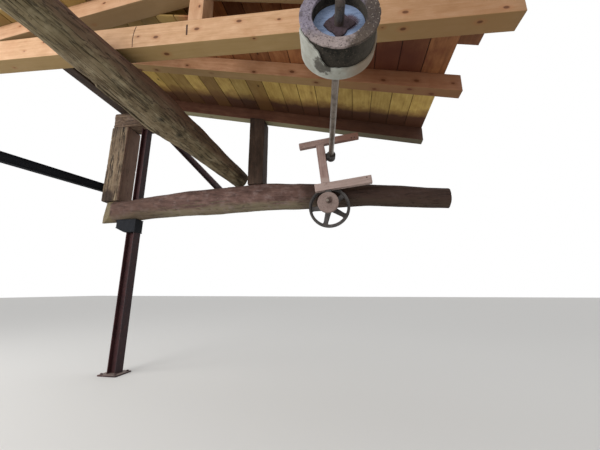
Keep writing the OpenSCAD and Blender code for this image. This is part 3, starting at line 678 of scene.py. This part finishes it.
# The cradle is welded up as a closed box under a seat plate, its foot plate slanting up at the left
LEFT_X, RIGHT_X, HALF, PLATE = -0.305, 0.095, 0.1, 0.014
SLANT_TOP, SLANT_X = 2.46, -0.12
foot_plate = [(LEFT_X, SLANT_TOP), (SLANT_X, COLUMN_TOP), (RIGHT_X, COLUMN_TOP),
              (RIGHT_X, COLUMN_TOP + PLATE), (SLANT_X + 0.003, COLUMN_TOP + PLATE),
              (LEFT_X, SLANT_TOP + PLATE + 0.001)]
left, right = LEFT_X + 0.004, RIGHT_X - 0.004
sides = [(left, SLANT_TOP + 0.008), (SLANT_X + 0.001, COLUMN_TOP + 0.01), (right, COLUMN_TOP + 0.01),
         (right, SEAT_Z - 0.01), (left, SEAT_Z - 0.01)]
cradle = [prism(outline, [0, -half, 0], [0, half, 0], RIGHT, UP)
          for outline, half in ((foot_plate, HALF), (sides, HALF - 0.005))]
cradle.append(box_skin([LEFT_X, -HALF, SEAT_Z - PLATE], [RIGHT_X, HALF, SEAT_Z]))
piece("cradle", merge(cradle), "black_steel", "column_cap", sharp=40)

# Old timbers: the tie beam, the posts on it, the saddle and the ridge beam


def rough_round(t, degrees, seed):
    """The log's waviness as the CAD has it: three sines of the share along it and of the angle round it."""
    wave = 0.035 * np.sin(np.radians(540 * t + 2 * degrees + seed))
    wave = wave + 0.022 * np.sin(np.radians(1300 * t - 3 * degrees + 2 * seed))
    return 1 + wave + 0.012 * np.sin(np.radians(2900 * t + 5 * degrees + 3 * seed))


def log_grid(x0, x1, heights, radii, seed, sway, rings, sides, fine, groove, slab=None, knobs=()):
    """A log along x: its middle and radius are read between stations, and its skin is wavy.

    fine is the height of slow lumps, and groove the depth of the long drying cracks. slab is a split on
    one side: start, end, the angle of its crack and how wide it is in degrees. Each end is closed by rings
    that shrink to its middle. Each knob is a place along the log and round it in degrees, how wide it is,
    how far it stands out, and how dark its heart is. The second grid is the tone: dark in cracks and hearts.
    """
    shrink = np.array([0.02, 0.3, 0.6, 0.85, 0.97])
    share = np.concatenate([shrink, np.ones(rings), shrink[::-1]])[:, None]
    t = np.concatenate([np.zeros(5), np.linspace(0, 1, rings), np.ones(5)])[:, None]
    degrees = np.linspace(0, 360, sides, endpoint=False)
    x, a = x0 + (x1 - x0) * t, np.radians(degrees)
    radius = np.interp(x, *np.array(radii).T) * rough_round(t, degrees, seed)
    radius = radius + fine * relief(t, degrees / 360, seed + 1, int((x1 - x0) / 0.22), 12, 4)
    lines = relief(t, degrees / 360, seed + 2, max(3, int((x1 - x0) / 0.8)), 22, 2)
    cracked = np.clip(1 - np.abs(lines) / 0.045, 0, 1)
    radius = radius - groove * cracked
    tone = 0.72 - 0.7 * cracked
    if slab:
        start, end, crack_at, wide = slab
        along = np.clip((x - start) / 0.18, 0, 1) * np.clip((end - x) / 0.02, 0, 1)
        edge = crack_at + 5 * np.sin(5 * x)
        inside = np.clip((degrees - edge + wide) / 14, 0, 1) * (degrees < edge)
        gap = np.exp(-(((degrees - edge) / 1.5) ** 2)) * np.clip((x - start) / 0.1, 0, 1)
        gap = gap * np.clip((end + 0.03 - x) / 0.05, 0, 1)
        radius = radius + 0.016 * along * inside - 0.028 * gap
        tone = tone - 2.2 * gap
    for at, facing, wide, height, dark in knobs:
        sideways = 0.22 * np.radians((degrees - facing + 180) % 360 - 180)
        away = np.hypot((x - at) * 0.8, sideways)
        radius = radius + height * np.exp(-((away / wide) ** 2))
        tone = tone - dark * np.exp(-((away / (0.42 * wide)) ** 2))
    radius = radius * share
    y = sway * np.sin(np.pi * t) + radius * np.cos(a)
    z = np.interp(x, *np.array(heights).T) + radius * np.sin(a)
    return stacked(x, y, z), np.clip(tone, -1, 1)


def log_piece(name, places, own, tone, look, node):
    """Puts a log's skin into a piece, with the tone of sound wood for the middle of each end."""
    piece(name, tube(stacked(*places), own), look, node, sharp=50, plank=np.append(tone, [0.7, 0.7]))


TIE_LEFT, TIE_RIGHT, TIE_R = -0.69, 5.43, 0.232
# Stations of the tie beam: x, height of its middle over the cradle's seat, share of its radius
tie_stations = [(TIE_LEFT, 0.165, 0.86), (-0.33, 0.178, 0.9), (-0.1, 0.19, 0.86), (0.45, 0.235, 0.88),
                (2.35, 0.3, 1.0), (3.1, 0.28, 0.96), (4.27, 0.225, 0.76), (5.13, 0.14, 0.66),
                (TIE_RIGHT, 0.115, 0.64)]
own, tone = log_grid(TIE_LEFT, TIE_RIGHT, [(x, SEAT_Z + h) for x, h, _ in tie_stations],
                     [(x, TIE_R * k) for x, _, k in tie_stations], 40, 0.0, 420, 112, 0.006, 0.009)
x, y, z = np.moveaxis(own, -1, 0)
# Hewn flats: on the cradle, under the posts, brace and bridging log, and for the bracket's upright
z = np.where((x > LEFT_X - 0.02) & (x < RIGHT_X + 0.02), np.maximum(z, SEAT_Z), z)
for x0, x1, flat in ((-9, -0.265, POST_FOOT), (-0.095, 0.095, STUB_FOOT), (2.185, 2.515, KING_FOOT),
                     (1.5, 1.85, BRACE_FOOT), (1.64, 2.2, LOG_SEAT)):
    z = np.where((x > x0) & (x < x1), np.minimum(z, flat), z)
y = np.where((x > 3.41) & (x < 3.67) & (z > 2.872), np.maximum(y, -0.19), y)
# Left end sawn at a slant in plan on its front, and leaning back to the top
y = np.where(x < -0.36, np.maximum(y, -0.205 - (0.36 + x) * 0.5774), y)
x = np.maximum(x, TIE_LEFT + np.clip(z - 2.72, 0, 0.25) * 0.4)
log_piece("tie_beam_log", (x, y, z), own, tone, "old_log_red", "tie_beam")

hewn = dict(wear=0.005, step=0.02, side_steps=18)
piece("old_post_timber",
      upright(POST_LEFT, -0.285, POST_FOOT, SADDLE_FOOT, 0.35, rounding=0.016, seed=3, slow=0.006, pits=0.01,
              shifted=False, **hewn),
      "weathered_oak", "old_post", sharp=60)
piece("post_saddle_timber",
      level(POST_LEFT, 0.13, SADDLE_FOOT, SADDLE_TOP, 0, 0.35, rounding=0.026, seed=5, slow=0.01, pits=0.014,
            **hewn),
      "old_oak", "post_saddle", sharp=60)
squared = dict(rounding=0.012, wear=0.004, slow=0.004)
piece("king_post_timber",
      upright(2.215, 2.485, KING_FOOT, 4.417, 0.27, 4.351, seed=8, pits=0.002, step=0.025, side_steps=16,
              **squared),
      "dark_oak", "king_post", sharp=60)
ridge = [[(-0.425, y, z) for y in (BEAM_BACK, 0.26)] for z in (SADDLE_TOP, 5.064)]
piece("ridge_beam_timber", timber(*ridge, [0.25, 0, -0.0612], seed=11, step=0.03, side_steps=14, **squared),
      "dark_oak", "ridge_beam", sharp=60)

# The bridging log, which leans from its seat on the tie beam towards the viewer

LOG_FOOT, LOG_TURN, LOG_PITCH, LOG_R = np.array([1.93, 0.06, 3.31]), -110.0, -14.5, 0.252
LOG_START, LOG_END = -0.12, 3.62
log_heights = [(LOG_START, 0.045), (0.3, 0.04), (0.7, 0.031), (1.1, 0.019), (1.5, 0.0), (LOG_END, 0.0)]
log_radii = [(s, LOG_R * k) for s, k in ((LOG_START, 0.62), (0.3, 0.7), (0.7, 0.77), (1.1, 0.86), (1.5, 0.97),
                                         (1.9, 1.0), (2.7, 0.9), (LOG_END, 0.82))]
log_knobs = [(1.64, 308, 0.08, 0.012, 1.5), (1.34, 304, 0.09, 0.014, 1.6), (0.87, 288, 0.07, 0.01, 1.4),
             (2.03, 334, 0.15, 0.01, 0.0), (1.76, 330, 0.1, -0.01, 0.25), (2.55, 278, 0.11, 0.008, 0.2),
             (2.32, 4, 0.13, 0.008, 0.0), (1.1, 322, 0.09, 0.01, 0.25), (2.85, 320, 0.12, 0.01, 0.3),
             (3.2, 300, 0.1, -0.008, 0.2), (0.6, 305, 0.08, -0.007, 0.2), (2.2, 300, 0.09, -0.008, 0.3)]
own, tone = log_grid(LOG_START, LOG_END, log_heights, log_radii, 120, 0.03, 260, 220, 0.007, 0.012,
                     (1.45, 2.34, 247, 74), log_knobs)
x, y, z = np.moveaxis(own @ turned("y", LOG_PITCH)[0].T @ turned("z", LOG_TURN)[0].T + LOG_FOOT, -1, 0)
# Hewn flats on the tie beam and under the cross beam
z = np.where(y > -0.6, np.maximum(z, LOG_SEAT), z)
under_beam = (np.abs(y - BEAM_Y) < BEAM_WIDTH / 2 + 0.005) & (x > 0) & (x < 2)
z = np.where(under_beam, np.minimum(z, on_beam(x, 0)), z)
log_piece("bridging_log_timber", (x, y, z), own, tone, "old_log_grey", "bridging_log")

# New pine: rafters, the near frame and its post

sawn = dict(rounding=0.004, wear=0.0012, step=0.08, side_steps=8)
# Height at x = 0, fall to the right and depth of a rafter and of the cross beam
rafter, beam = (RAFTER_Z, RAFTER_FALL, RAFTER_DEPTH), (BEAM_Z, BEAM_FALL, BEAM_DEPTH)
for seed, (name, node, x0, x1, line, y, width, look) in enumerate((
    ("rear_rafter_pine", "rear_rafter", -0.6, 5.14, rafter, 0, RAFTER_WIDTH, "shaded_pine"),
    ("middle_rafter_pine", "middle_rafter", -0.6, 5.31, rafter, -1.195, RAFTER_WIDTH, "rafter_pine"),
    ("cross_beam_pine", "near_cross_beam", -0.9, NEAR_RIGHT, beam, BEAM_Y, BEAM_WIDTH, "beam_pine"),
), 21):
    skin = falling(x0, x1, *line, y, width, seed=seed, shifted=look == "shaded_pine", **sawn)
    piece(name, skin, look, node)


def chord(*places):
    """Lower and upper side of a chord, whose top falls away from the post and whose foot ends on the beam."""
    top = [(x, NEAR_TOP - LEFT_RISE * max(NEAR_POST_LEFT - x, 0) - RIGHT_FALL * max(x - NEAR_POST_RIGHT, 0))
           for x in places]
    return [(x, max(z - CHORD_DEPTH, on_beam(x, 1))) for x, z in top], top


MEETS_BEAM = 5.2
post = [[(x, on_beam(x, 1)), (x, NEAR_TOP)] for x in (NEAR_POST_LEFT, NEAR_POST_RIGHT)]
for seed, (name, node, both) in enumerate((
    ("cross_post_pine", "cross_beam_post", post),
    ("chord_left_pine", "near_rafter_left", chord(NEAR_LEFT, NEAR_POST_LEFT)),
    ("chord_right_pine", "near_rafter_right", chord(NEAR_POST_RIGHT, MEETS_BEAM, NEAR_RIGHT)),
), 24):
    piece(name, bar(*both, BEAM_Y, BEAM_WIDTH, seed=seed, **sawn), "new_pine", node)

# Saw cut and pencil marks on the front of the cross beam


def beam_mark(points, width):
    """A dark line 1.5 mm proud of the cross beam's front, through points of x and share of its depth."""
    low, high = ([(x + side, on_beam(x, share)) for x, share in points] for side in (-width / 2, width / 2))
    return bar(low, high, BEAM_FRONT - 0.0005, 0.002, rounding=0.0008, wear=0, seed=27, step=0.02,
               side_steps=1)


marks = [beam_mark([(1.509, 0.03), (1.496, 0.4), (1.503, 0.75), (1.522, 0.97)], 0.009),
         beam_mark([(2.197, 0.34), (2.19, 0.8)], 0.02)]
piece("cross_beam_marks", merge(marks), "dark_mark", sharp=60)

# Roof boards, tongued and grooved, about 275 mm wide, laid up the slope 0.3 mm above what carries them

BOARD_T, BOARD_WIDE, BOARD_LIFT = 0.028, 0.275, 0.0003
DECK_LEFT, DECK_RIGHT = -0.66, 5.14
NEAR_EDGE, LAST_EDGE = -2.3, -1.27


def deck(x0, x1, z0, fall, near, far, seed):
    """Boards side by side from x0 to x1 on a plane through z0 at x = 0, each from near to far in y.

    A tongue closes each joint, a few millimetres wide, and is dark.
    """
    draw = np.random.default_rng(seed)
    parts, tones = [], []
    count = max(1, round((x1 - x0) / BOARD_WIDE))
    width = (x1 - x0) / count
    for k in range(count):
        gap, lift, tone = draw.uniform(0.007, 0.011), draw.uniform(0, 0.0015), draw.uniform(0.22, 1.0)
        middle, edge = x0 + (k + 0.5) * width, x0 + k * width
        strips = [(middle, width - gap, z0 - fall * middle + lift, BOARD_T - 0.0015, tone)]
        if k or x0 > -0.6:
            strips.append((edge, 0.026, z0 - fall * edge + 0.012, 0.008, -0.95))
        for across, wide, low, thick, own in strips:
            under, top = ([[across, y, z] for y in (near, far)] for z in (low, low + thick))
            board = timber(under, top, [wide, 0, -fall * wide], rounding=0.003, wear=0.0006,
                           seed=seed * 100 + len(parts), step=0.3, side_steps=1)
            parts.append(board)
            tones.append(np.full(len(board[0]), own))
    return merge(parts), np.concatenate(tones)


third = (DECK_RIGHT - DECK_LEFT) / 3
for index, side in enumerate(("left", "middle", "right")):
    x0 = DECK_LEFT + third * index
    for bay, near, far, seed, look, node in (
        ("front", BEAM_BACK, -1.196, 31, "roof_board", None),
        ("rear", -1.194, 0.23, 34, "roof_board_back", "roof_boards_" + side),
    ):
        skin, tones = deck(x0, x0 + third, RAFTER_Z + RAFTER_DEPTH + BOARD_LIFT, RAFTER_FALL, near, far,
                           seed + index)
        piece(f"{bay}_bay_boards_{side}", skin, look, node, plank=tones)
near_z = NEAR_TOP + BOARD_LIFT
near_left = [deck(x0, x1, near_z - LEFT_RISE * NEAR_POST_LEFT, -LEFT_RISE, NEAR_EDGE, far, seed)
             for x0, x1, far, seed in ((NEAR_LEFT, 1.3, BEAM_BACK, 41),
                                       (1.3, NEAR_POST_RIGHT, LAST_EDGE, 42))]
piece("near_deck_left", merge([skin for skin, _ in near_left]), "roof_board", "near_boards_left",
      plank=np.concatenate([tones for _, tones in near_left]))
skin, tones = deck(NEAR_POST_RIGHT, NEAR_RIGHT, near_z + RIGHT_FALL * NEAR_POST_RIGHT, RIGHT_FALL,
                   NEAR_EDGE, LAST_EDGE, 43)
piece("near_deck_right", skin, "roof_board", "near_boards_right", plank=tones)

# Steelwork above the tie beam

piece("stub_section",
      prism(i_outline(0.13, 0.13, 0.014, 0.009, 0.01), [0, 0, STUB_FOOT], [0, 0, SADDLE_FOOT], RIGHT, AWAY),
      "red_primer_steel", "steel_stub", sharp=40)
BRACE_X, BRACE_Z, BRACE_RUN, BRACE_LONG = 0.13, 4.735, 1.61, 2.3
slope = math.atan2(BRACE_Z - BRACE_FOOT, BRACE_RUN)
down = np.array([math.cos(slope), 0, -math.sin(slope)])
channel = [(-0.055, -0.11), (0.055, -0.11), (0.055, 0), (-0.055, 0), (-0.055, -0.01)]
channel += arc(0.037, -0.018, 0.008, 90, 0) + arc(0.037, -0.092, 0.008, 0, -90) + [(-0.055, -0.1)]
head = np.array([BRACE_X, 0, BRACE_Z])
piece("brace_channel",
      prism(channel, head, head + BRACE_LONG * down, AWAY, [math.sin(slope), 0, math.cos(slope)],
            (([BRACE_X, 0, 0], RIGHT), ([0, 0, BRACE_FOOT], UP))),
      "red_primer_steel", "steel_brace", sharp=40)
SIDE_BEAM_TURN, SIDE_BEAM_LONG = math.radians(16), 1.81
way = np.array([math.sin(SIDE_BEAM_TURN), math.cos(SIDE_BEAM_TURN), 0])
start = np.array([-1.1654, -1.578, 3.275])
piece("side_beam_section",
      prism(i_outline(0.15, 0.082, 0.01, 0.008, 0.007), start, start + SIDE_BEAM_LONG * way, UP,
            [way[1], -way[0], 0], (None, ([POST_LEFT, 0, 0], RIGHT))),
      "black_steel", "side_beam", sharp=40)

# Bracket of rough boards, hung crooked on the tie beam

BRACKET = turned("y", -6.5, (3.54, 0, 3.3))
FRONT = -0.43
plain = dict(rounding=0.004, wear=0.002, step=0.04, side_steps=8)
TOP_Z, FOOT_Z, PLANK_Y, PLANK_T = 0.285, -0.358, -0.39, 0.08
for name, node, skin in (
    ("bracket_top_plank", "bracket_top_board",
     level(-0.33, 0.61, TOP_Z, 0.377, PLANK_Y, PLANK_T, seed=51, **plain)),
    ("bracket_stem", "bracket_upright",
     upright(-0.064, 0.064, FOOT_Z, TOP_Z, 0.24, y=-0.31, seed=52, **plain)),
    ("bracket_foot_plank", "bracket_bottom_board",
     level(-0.17, 0.69, -0.476, FOOT_Z, PLANK_Y, PLANK_T, seed=53, **plain)),
):
    piece(name, placed(skin, BRACKET), "bracket_board", node)
# Flat nail heads 9 mm across, 1.5 mm proud of the boards' front
nail = round_bar(0.0045, -0.0015, 0.004, steps=12, ease=0.0006)
nails = [placed(nail, turned("y", 0, (x, FRONT, z)))
         for x, z in ((0.56, 0.335), (0.52, 0.335), (-0.02, 0.33), (0.03, 0.345), (-0.02, -0.4),
                      (0.035, -0.43), (0.63, -0.42))]
piece("bracket_nails", placed(merge(nails), BRACKET), "dark_iron")

# Line shaft with its bearing and hanger

SKEW, SHAFT_Z, BORE = 5.7, 3.41, 0.03805
SHAFT = turned("z", 180 + SKEW, (3.668, -0.3, SHAFT_Z))
arm = level(0.064, 0.125, 0.0512, 0.1372, -0.35, 0.1, rounding=0.006, wear=0.0005, seed=61, step=0.03)
piece("end_bearing_casting", merge([placed(bush(BORE, 0.07, -0.01, 0.1), SHAFT), placed(arm, BRACKET)]),
      "dark_iron", "end_bearing", sharp=40)
HANGER_X = 3.8504
boss_at = (HANGER_X + 0.0028, BEAM_FRONT - 0.057, SHAFT_Z)
hanger = [placed(bush(BORE, 0.068, 0.001, 0.056), turned("z", SKEW, boss_at))]
hanger += [upright(HANGER_X - 0.03, HANGER_X + 0.03, z0, z1, deep, y=BEAM_FRONT - out, rounding=rounding,
                   wear=0.0004, seed=seed, step=step)
           for z0, z1, deep, out, rounding, seed, step in ((3.465, 4.1847, 0.022, 0.011, 0.003, 63, 0.08),
                                                           (3.464, 3.52, 0.055, 0.0285, 0.005, 64, 0.03))]
hanger += [hex_bolt(np.array([HANGER_X, BEAM_FRONT - 0.022, z]), NEARER, 0.016, 0.022) for z in (4.0, 4.13)]
piece("shaft_hanger", merge(hanger), "dark_iron", "hanger", sharp=40)
piece("line_shaft_bar", placed(round_bar(0.038, 0, 2.98, rings=40), SHAFT), "shaft_steel", "line_shaft",
      body="shaft", sharp=40)

# Drum: bare side, ring of planks round the mouth, torn lagging and the plate behind the mouth

DRUM_AT = 2.09
DRUM = turned("z", 180 + SKEW, SHAFT[1] + SHAFT[0] @ (0, DRUM_AT, 0))
SIDE_R, MOUTH_R, RING_R, RING_T, LONG = 0.302, 0.213, 0.316, 0.022, 0.34
side = [(0.0385, 0.11), (MOUTH_R, 0.11), (MOUTH_R, LIP), (MOUTH_R + LIP, 0), (SIDE_R - LIP, 0), (SIDE_R, LIP),
        (SIDE_R, 0.1), (SIDE_R, 0.2), (SIDE_R, LONG - RING_T), (MOUTH_R, LONG - RING_T), (MOUTH_R, 0.26),
        (MOUTH_R, 0.23), (0.0385, 0.23)]
piece("drum_side_wall", placed(revolve(side, 128), DRUM), "drum_side", "drum_body", body="shaft", sharp=40)


def mouth_ring():
    """The ring of planks: radius and depth round its section, with its rim chipped and its face uneven."""
    back, face = LONG - RING_T, LONG
    section = [(MOUTH_R, back), (MOUTH_R, back + 0.009), (MOUTH_R, face - 0.004), (MOUTH_R + 0.004, face)]
    section += [(r, face) for r in np.linspace(MOUTH_R + 0.012, RING_R - 0.012, 9)]
    section += [(RING_R - 0.004, face), (RING_R, face - 0.005), (RING_R, back + 0.011),
                (RING_R, back + 0.004), (RING_R - 0.004, back)]
    r, y = np.array(section).T
    a = circle(240)
    turns = a / (2 * np.pi)
    out = np.clip((r - MOUTH_R) / (RING_R - MOUTH_R), 0, 1)
    chips = np.clip(relief(0.5, turns, 71, 2, 46, 2) - 0.12, 0, 1)
    y = y - np.where(y > face - 0.006, 0.0022 * (1 + relief(out, turns, 73, 5, 50, 3)), 0)
    r = r - out**3 * (0.012 * chips + 0.0025 * relief(0.3, turns, 72, 2, 15, 2) + 0.0025)
    return tube(about_y(r, y, a), ring=True)


piece("drum_mouth_ring", placed(mouth_ring(), DRUM), "drum_wood", body="shaft", sharp=50)

# Degrees round the drum, and the share of its length that the lagging still covers there
tear = np.array([(0, 0.42), (40, 0.5), (150, 0.56), (172, 0.62), (196, 0.84), (214, 0.88), (228, 0.83),
                 (238, 0.757), (244, 0.58), (251, 0.42), (256, 0.385), (271, 0.385), (287, 0.36),
                 (307, 0.335), (324, 0.32), (343, 0.33), (360, 0.42)])


def torn_lagging():
    """A shell round the drum: its front edge follows the tear table, ragged, and lifts at the tear."""
    a = np.linspace(0, 360, 360, endpoint=False)[:, None]
    turns = a / 360
    front = np.interp(a, tear[:, 0], tear[:, 1]) * LONG
    front = np.minimum(front + 0.006 * relief(0.4, turns, 75, 2, 60, 3), 0.31)
    lift = 0.012 * np.exp(-(((a - 244) / 7) ** 2)) + 0.002
    along = np.concatenate([np.linspace(0, 1, 14), np.linspace(1, 0, 14)])
    outer = np.arange(28) < 14
    r = np.where(outer, 0.3185 - 0.004 * (along > 0.99), 0.3027) + lift * along**6
    r = r + np.where(outer, 0.0013 * relief(along, turns, 76, 5, 24, 3), 0)
    return tube(about_y(r, 0.012 + (front - 0.012) * along, np.radians(180 - a)), ring=True)


piece("torn_lagging", placed(torn_lagging(), DRUM), "drum_lagging", "drum_lagging", body="shaft", sharp=50)

plate = [(0.039, 0.23), (0.209, 0.23), (0.21, 0.231), (0.21, 0.237), (0.209, 0.238)]
plate += [(r, 0.238) for r in np.linspace(0.2, 0.045, 12)]
points, faces, _ = revolve(plate)
x, y, z = points.T
brushed = 0.0015 * relief(np.hypot(x, z) / 0.21, np.arctan2(z, x) / (2 * np.pi), 78, 5, 20, 3)
points = stacked(x, y + np.where(y > 0.2375, brushed, 0), z)
piece("hub_disc", placed((points, faces, points), DRUM), "hub_plate", "drum_hub_plate", body="shaft",
      sharp=40)
# A plate between a square and a circle in outline, bossed up round the shaft
a = circle(96)
rim = 0.128 / (np.abs(np.cos(a)) ** 1.15 + np.abs(np.sin(a)) ** 1.15)
rim = rim * (1 + 0.09 * relief(0.5, a / (2 * np.pi), 79, 2, 13, 3))
r = np.hstack([0 * a + 0.0388, rim, rim, rim - 0.004, 0 * a + 0.052, 0 * a + 0.0388])
diamond = tube(about_y(r, np.array([0.2385, 0.2385, 0.249, 0.253, 0.2555, 0.2555]), a), ring=True)
piece("hub_diamond", placed(diamond, DRUM), "hub_rust", body="shaft", sharp=30)

# Counter shaft below the bracket: bearing, axle, spoked pulley and disc

AXLE, AXLE_BORE = turned("z", 180, (3.625, 0, 2.592)), 0.02005
placing = dict(y=-0.38, step=0.03)
bearing = [upright(3.58, 3.67, 2.64, 2.8254, 0.08, 2.8357, rounding=0.006, wear=0.0008, seed=81, **placing),
           placed(bush(AXLE_BORE, 0.045, 0.34, 0.42, 48), AXLE)]
bearing += [upright(x0, x1, 2.59, 2.65, 0.078, rounding=0.004, wear=0.0006, seed=82, **placing)
            for x0, x1 in ((3.5815, 3.603), (3.647, 3.6685))]
piece("counter_bearing_block", merge(bearing), "dark_iron", "counter_bearing", sharp=40)
piece("counter_axle_bar", placed(round_bar(0.02, 0.232, 0.652, rings=6), AXLE), "shaft_steel", "counter_axle",
      body="counter", sharp=40)

HOLE_R, WHEEL_R, RIM_T, FACE, WHEEL_AT = 0.0202, 0.318, 0.046, 0.07, 0.242
# Profiles: distance in from the wheel's radius for the rim, radius for the hub, then distance from the edge
rim = [(0.004, 0), (0.002, 0.003), (0.0006, 0.02), (0, FACE / 2), (0.0006, 0.05), (0.002, 0.067),
       (0.004, FACE), (0.03, FACE), (0.035, 0.066), (RIM_T, 0.048), (RIM_T, 0.022), (0.035, 0.004), (0.03, 0)]
hub = [(HOLE_R, 0), (0.056, 0), (0.06, 0.004), (0.064, 0.02), (0.074, 0.028), (0.074, 0.042), (0.064, 0.05),
       (0.06, 0.066), (0.056, FACE), (HOLE_R, FACE)]
wheel = [revolve([(WHEEL_R - inward, WHEEL_AT + y) for inward, y in rim], 128),
         revolve([(r, WHEEL_AT + y) for r, y in hub])]
# Five spokes of oval section, flared towards the hub and at the rim
reach = np.linspace(0.05, WHEEL_R - RIM_T * 0.55, 22)
flare = 0.094 - 0.022 * np.clip((reach - 0.07) / 0.17, 0, 1)
flare = flare + 0.03 * np.clip((reach - 0.24) / 0.035, 0, 1) ** 2
a = circle(20).T
sideways = flare[:, None] * 0.5 * np.sign(np.cos(a)) * np.abs(np.cos(a)) ** 0.6
thick = WHEEL_AT + FACE / 2 + 0.011 * np.sign(np.sin(a)) * np.abs(np.sin(a)) ** 0.5
for k in range(5):
    turn = math.radians(76 + 72 * k)
    c, s = math.cos(turn), math.sin(turn)
    wheel.append(tube(stacked(reach[:, None] * c + sideways * s, thick, sideways * c - reach[:, None] * s)))
piece("spoked_wheel", placed(merge(wheel), AXLE), "dark_iron", "spoked_pulley", body="counter", sharp=40)
DISC_R = 0.155
disc = [(HOLE_R, 0.5), (0.149, 0.5), (0.153, 0.502), (DISC_R, 0.506), (DISC_R, 0.53), (DISC_R, 0.554),
        (0.153, 0.558), (0.149, 0.56)]
disc += [(r, 0.56 - 0.001 * (r < 0.14)) for r in np.linspace(0.142, 0.046, 9)]
disc += [(0.042, 0.5595), (0.034, 0.5595), (HOLE_R, 0.5595)]
piece("pale_disc", placed(revolve(disc, 96, 0.0012, 91), AXLE), "pale_disc", "disc_pulley", body="counter",
      sharp=40)

# Stage: floor, light and camera

FLOOR_HALF, FLOOR_Z = 60, -0.001
floor_mesh = bpy.data.meshes.new("floor")
corners = [(x * FLOOR_HALF, y * FLOOR_HALF, FLOOR_Z) for x, y in ((-1, -1), (1, -1), (1, 1), (-1, 1))]
floor_mesh.from_pydata(corners, [], [(0, 1, 2, 3)])
floor = bpy.data.objects.new("floor", floor_mesh)
bpy.context.scene.collection.objects.link(floor)
_, shader = finish("pale_floor")
feed(shader, {"Base Color": linear("#dcdad6"), "Roughness": 0.9})
floor_mesh.materials.append(finishes["pale_floor"])

# The world lights the piece softly, and is plain white where the camera or a glossy face sees it
world = bpy.data.worlds.new("studio")
bpy.context.scene.world = world
world.use_nodes = True
add = partial(add_node, world.node_tree)
back = feed(world.node_tree.nodes["Background"], {"Color": linear("#f4f5f7"), "Strength": 0.75})
seen = add("Background", {"Color": linear("#ffffff"), "Strength": 1})
path = add("LightPath", {})
ray = add("Math", {0: path.outputs["Is Camera Ray"], 1: path.outputs["Is Glossy Ray"]}, "ADD", use_clamp=True)
feed(world.node_tree.nodes["World Output"], {"Surface": add("MixShader", {0: ray, 1: back, 2: seen})})

# Two soft square lamps from the front, each facing its target
LAMP_SIZE = 5.0
for name, place, target, power in (("front_lamp", (-2.0, -9.0, 4.6), (2.0, -0.8, 3.4), 520.0),
                                   ("left_lamp", (-6.5, -6.0, 4.5), (1.5, -0.8, 3.4), 300.0)):
    data = bpy.data.lights.new(name, "AREA")
    data.size, data.energy = LAMP_SIZE, power
    lamp = bpy.data.objects.new(name, data)
    x, y, z = np.subtract(target, place).tolist()
    lamp.location = place
    lamp.rotation_euler = (math.pi / 2 + math.atan2(z, math.hypot(x, y)), 0, math.atan2(-x, y))
    bpy.context.scene.collection.objects.link(lamp)

# The photo's camera: sensor width in millimetres, focal length and picture width in pixels, degrees turned
SENSOR, FOCAL_PIXELS, PIXELS_WIDE, TILT_UP, TURN_LEFT = 36.0, 283, 600, 13, 10.2
camera_data = bpy.data.cameras.new("camera")
camera_data.sensor_fit = "HORIZONTAL"
camera_data.sensor_width = SENSOR
camera_data.lens = SENSOR * FOCAL_PIXELS / PIXELS_WIDE
camera_data.clip_end = 200.0
camera = bpy.data.objects.new("camera", camera_data)
camera.location = (3.92, -4.484, 1.346)
camera.rotation_euler = (math.radians(90 + TILT_UP), 0, math.radians(TURN_LEFT))
bpy.context.scene.collection.objects.link(camera)
bpy.context.scene.camera = camera
bpy.context.scene.view_settings.view_transform = "Standard"
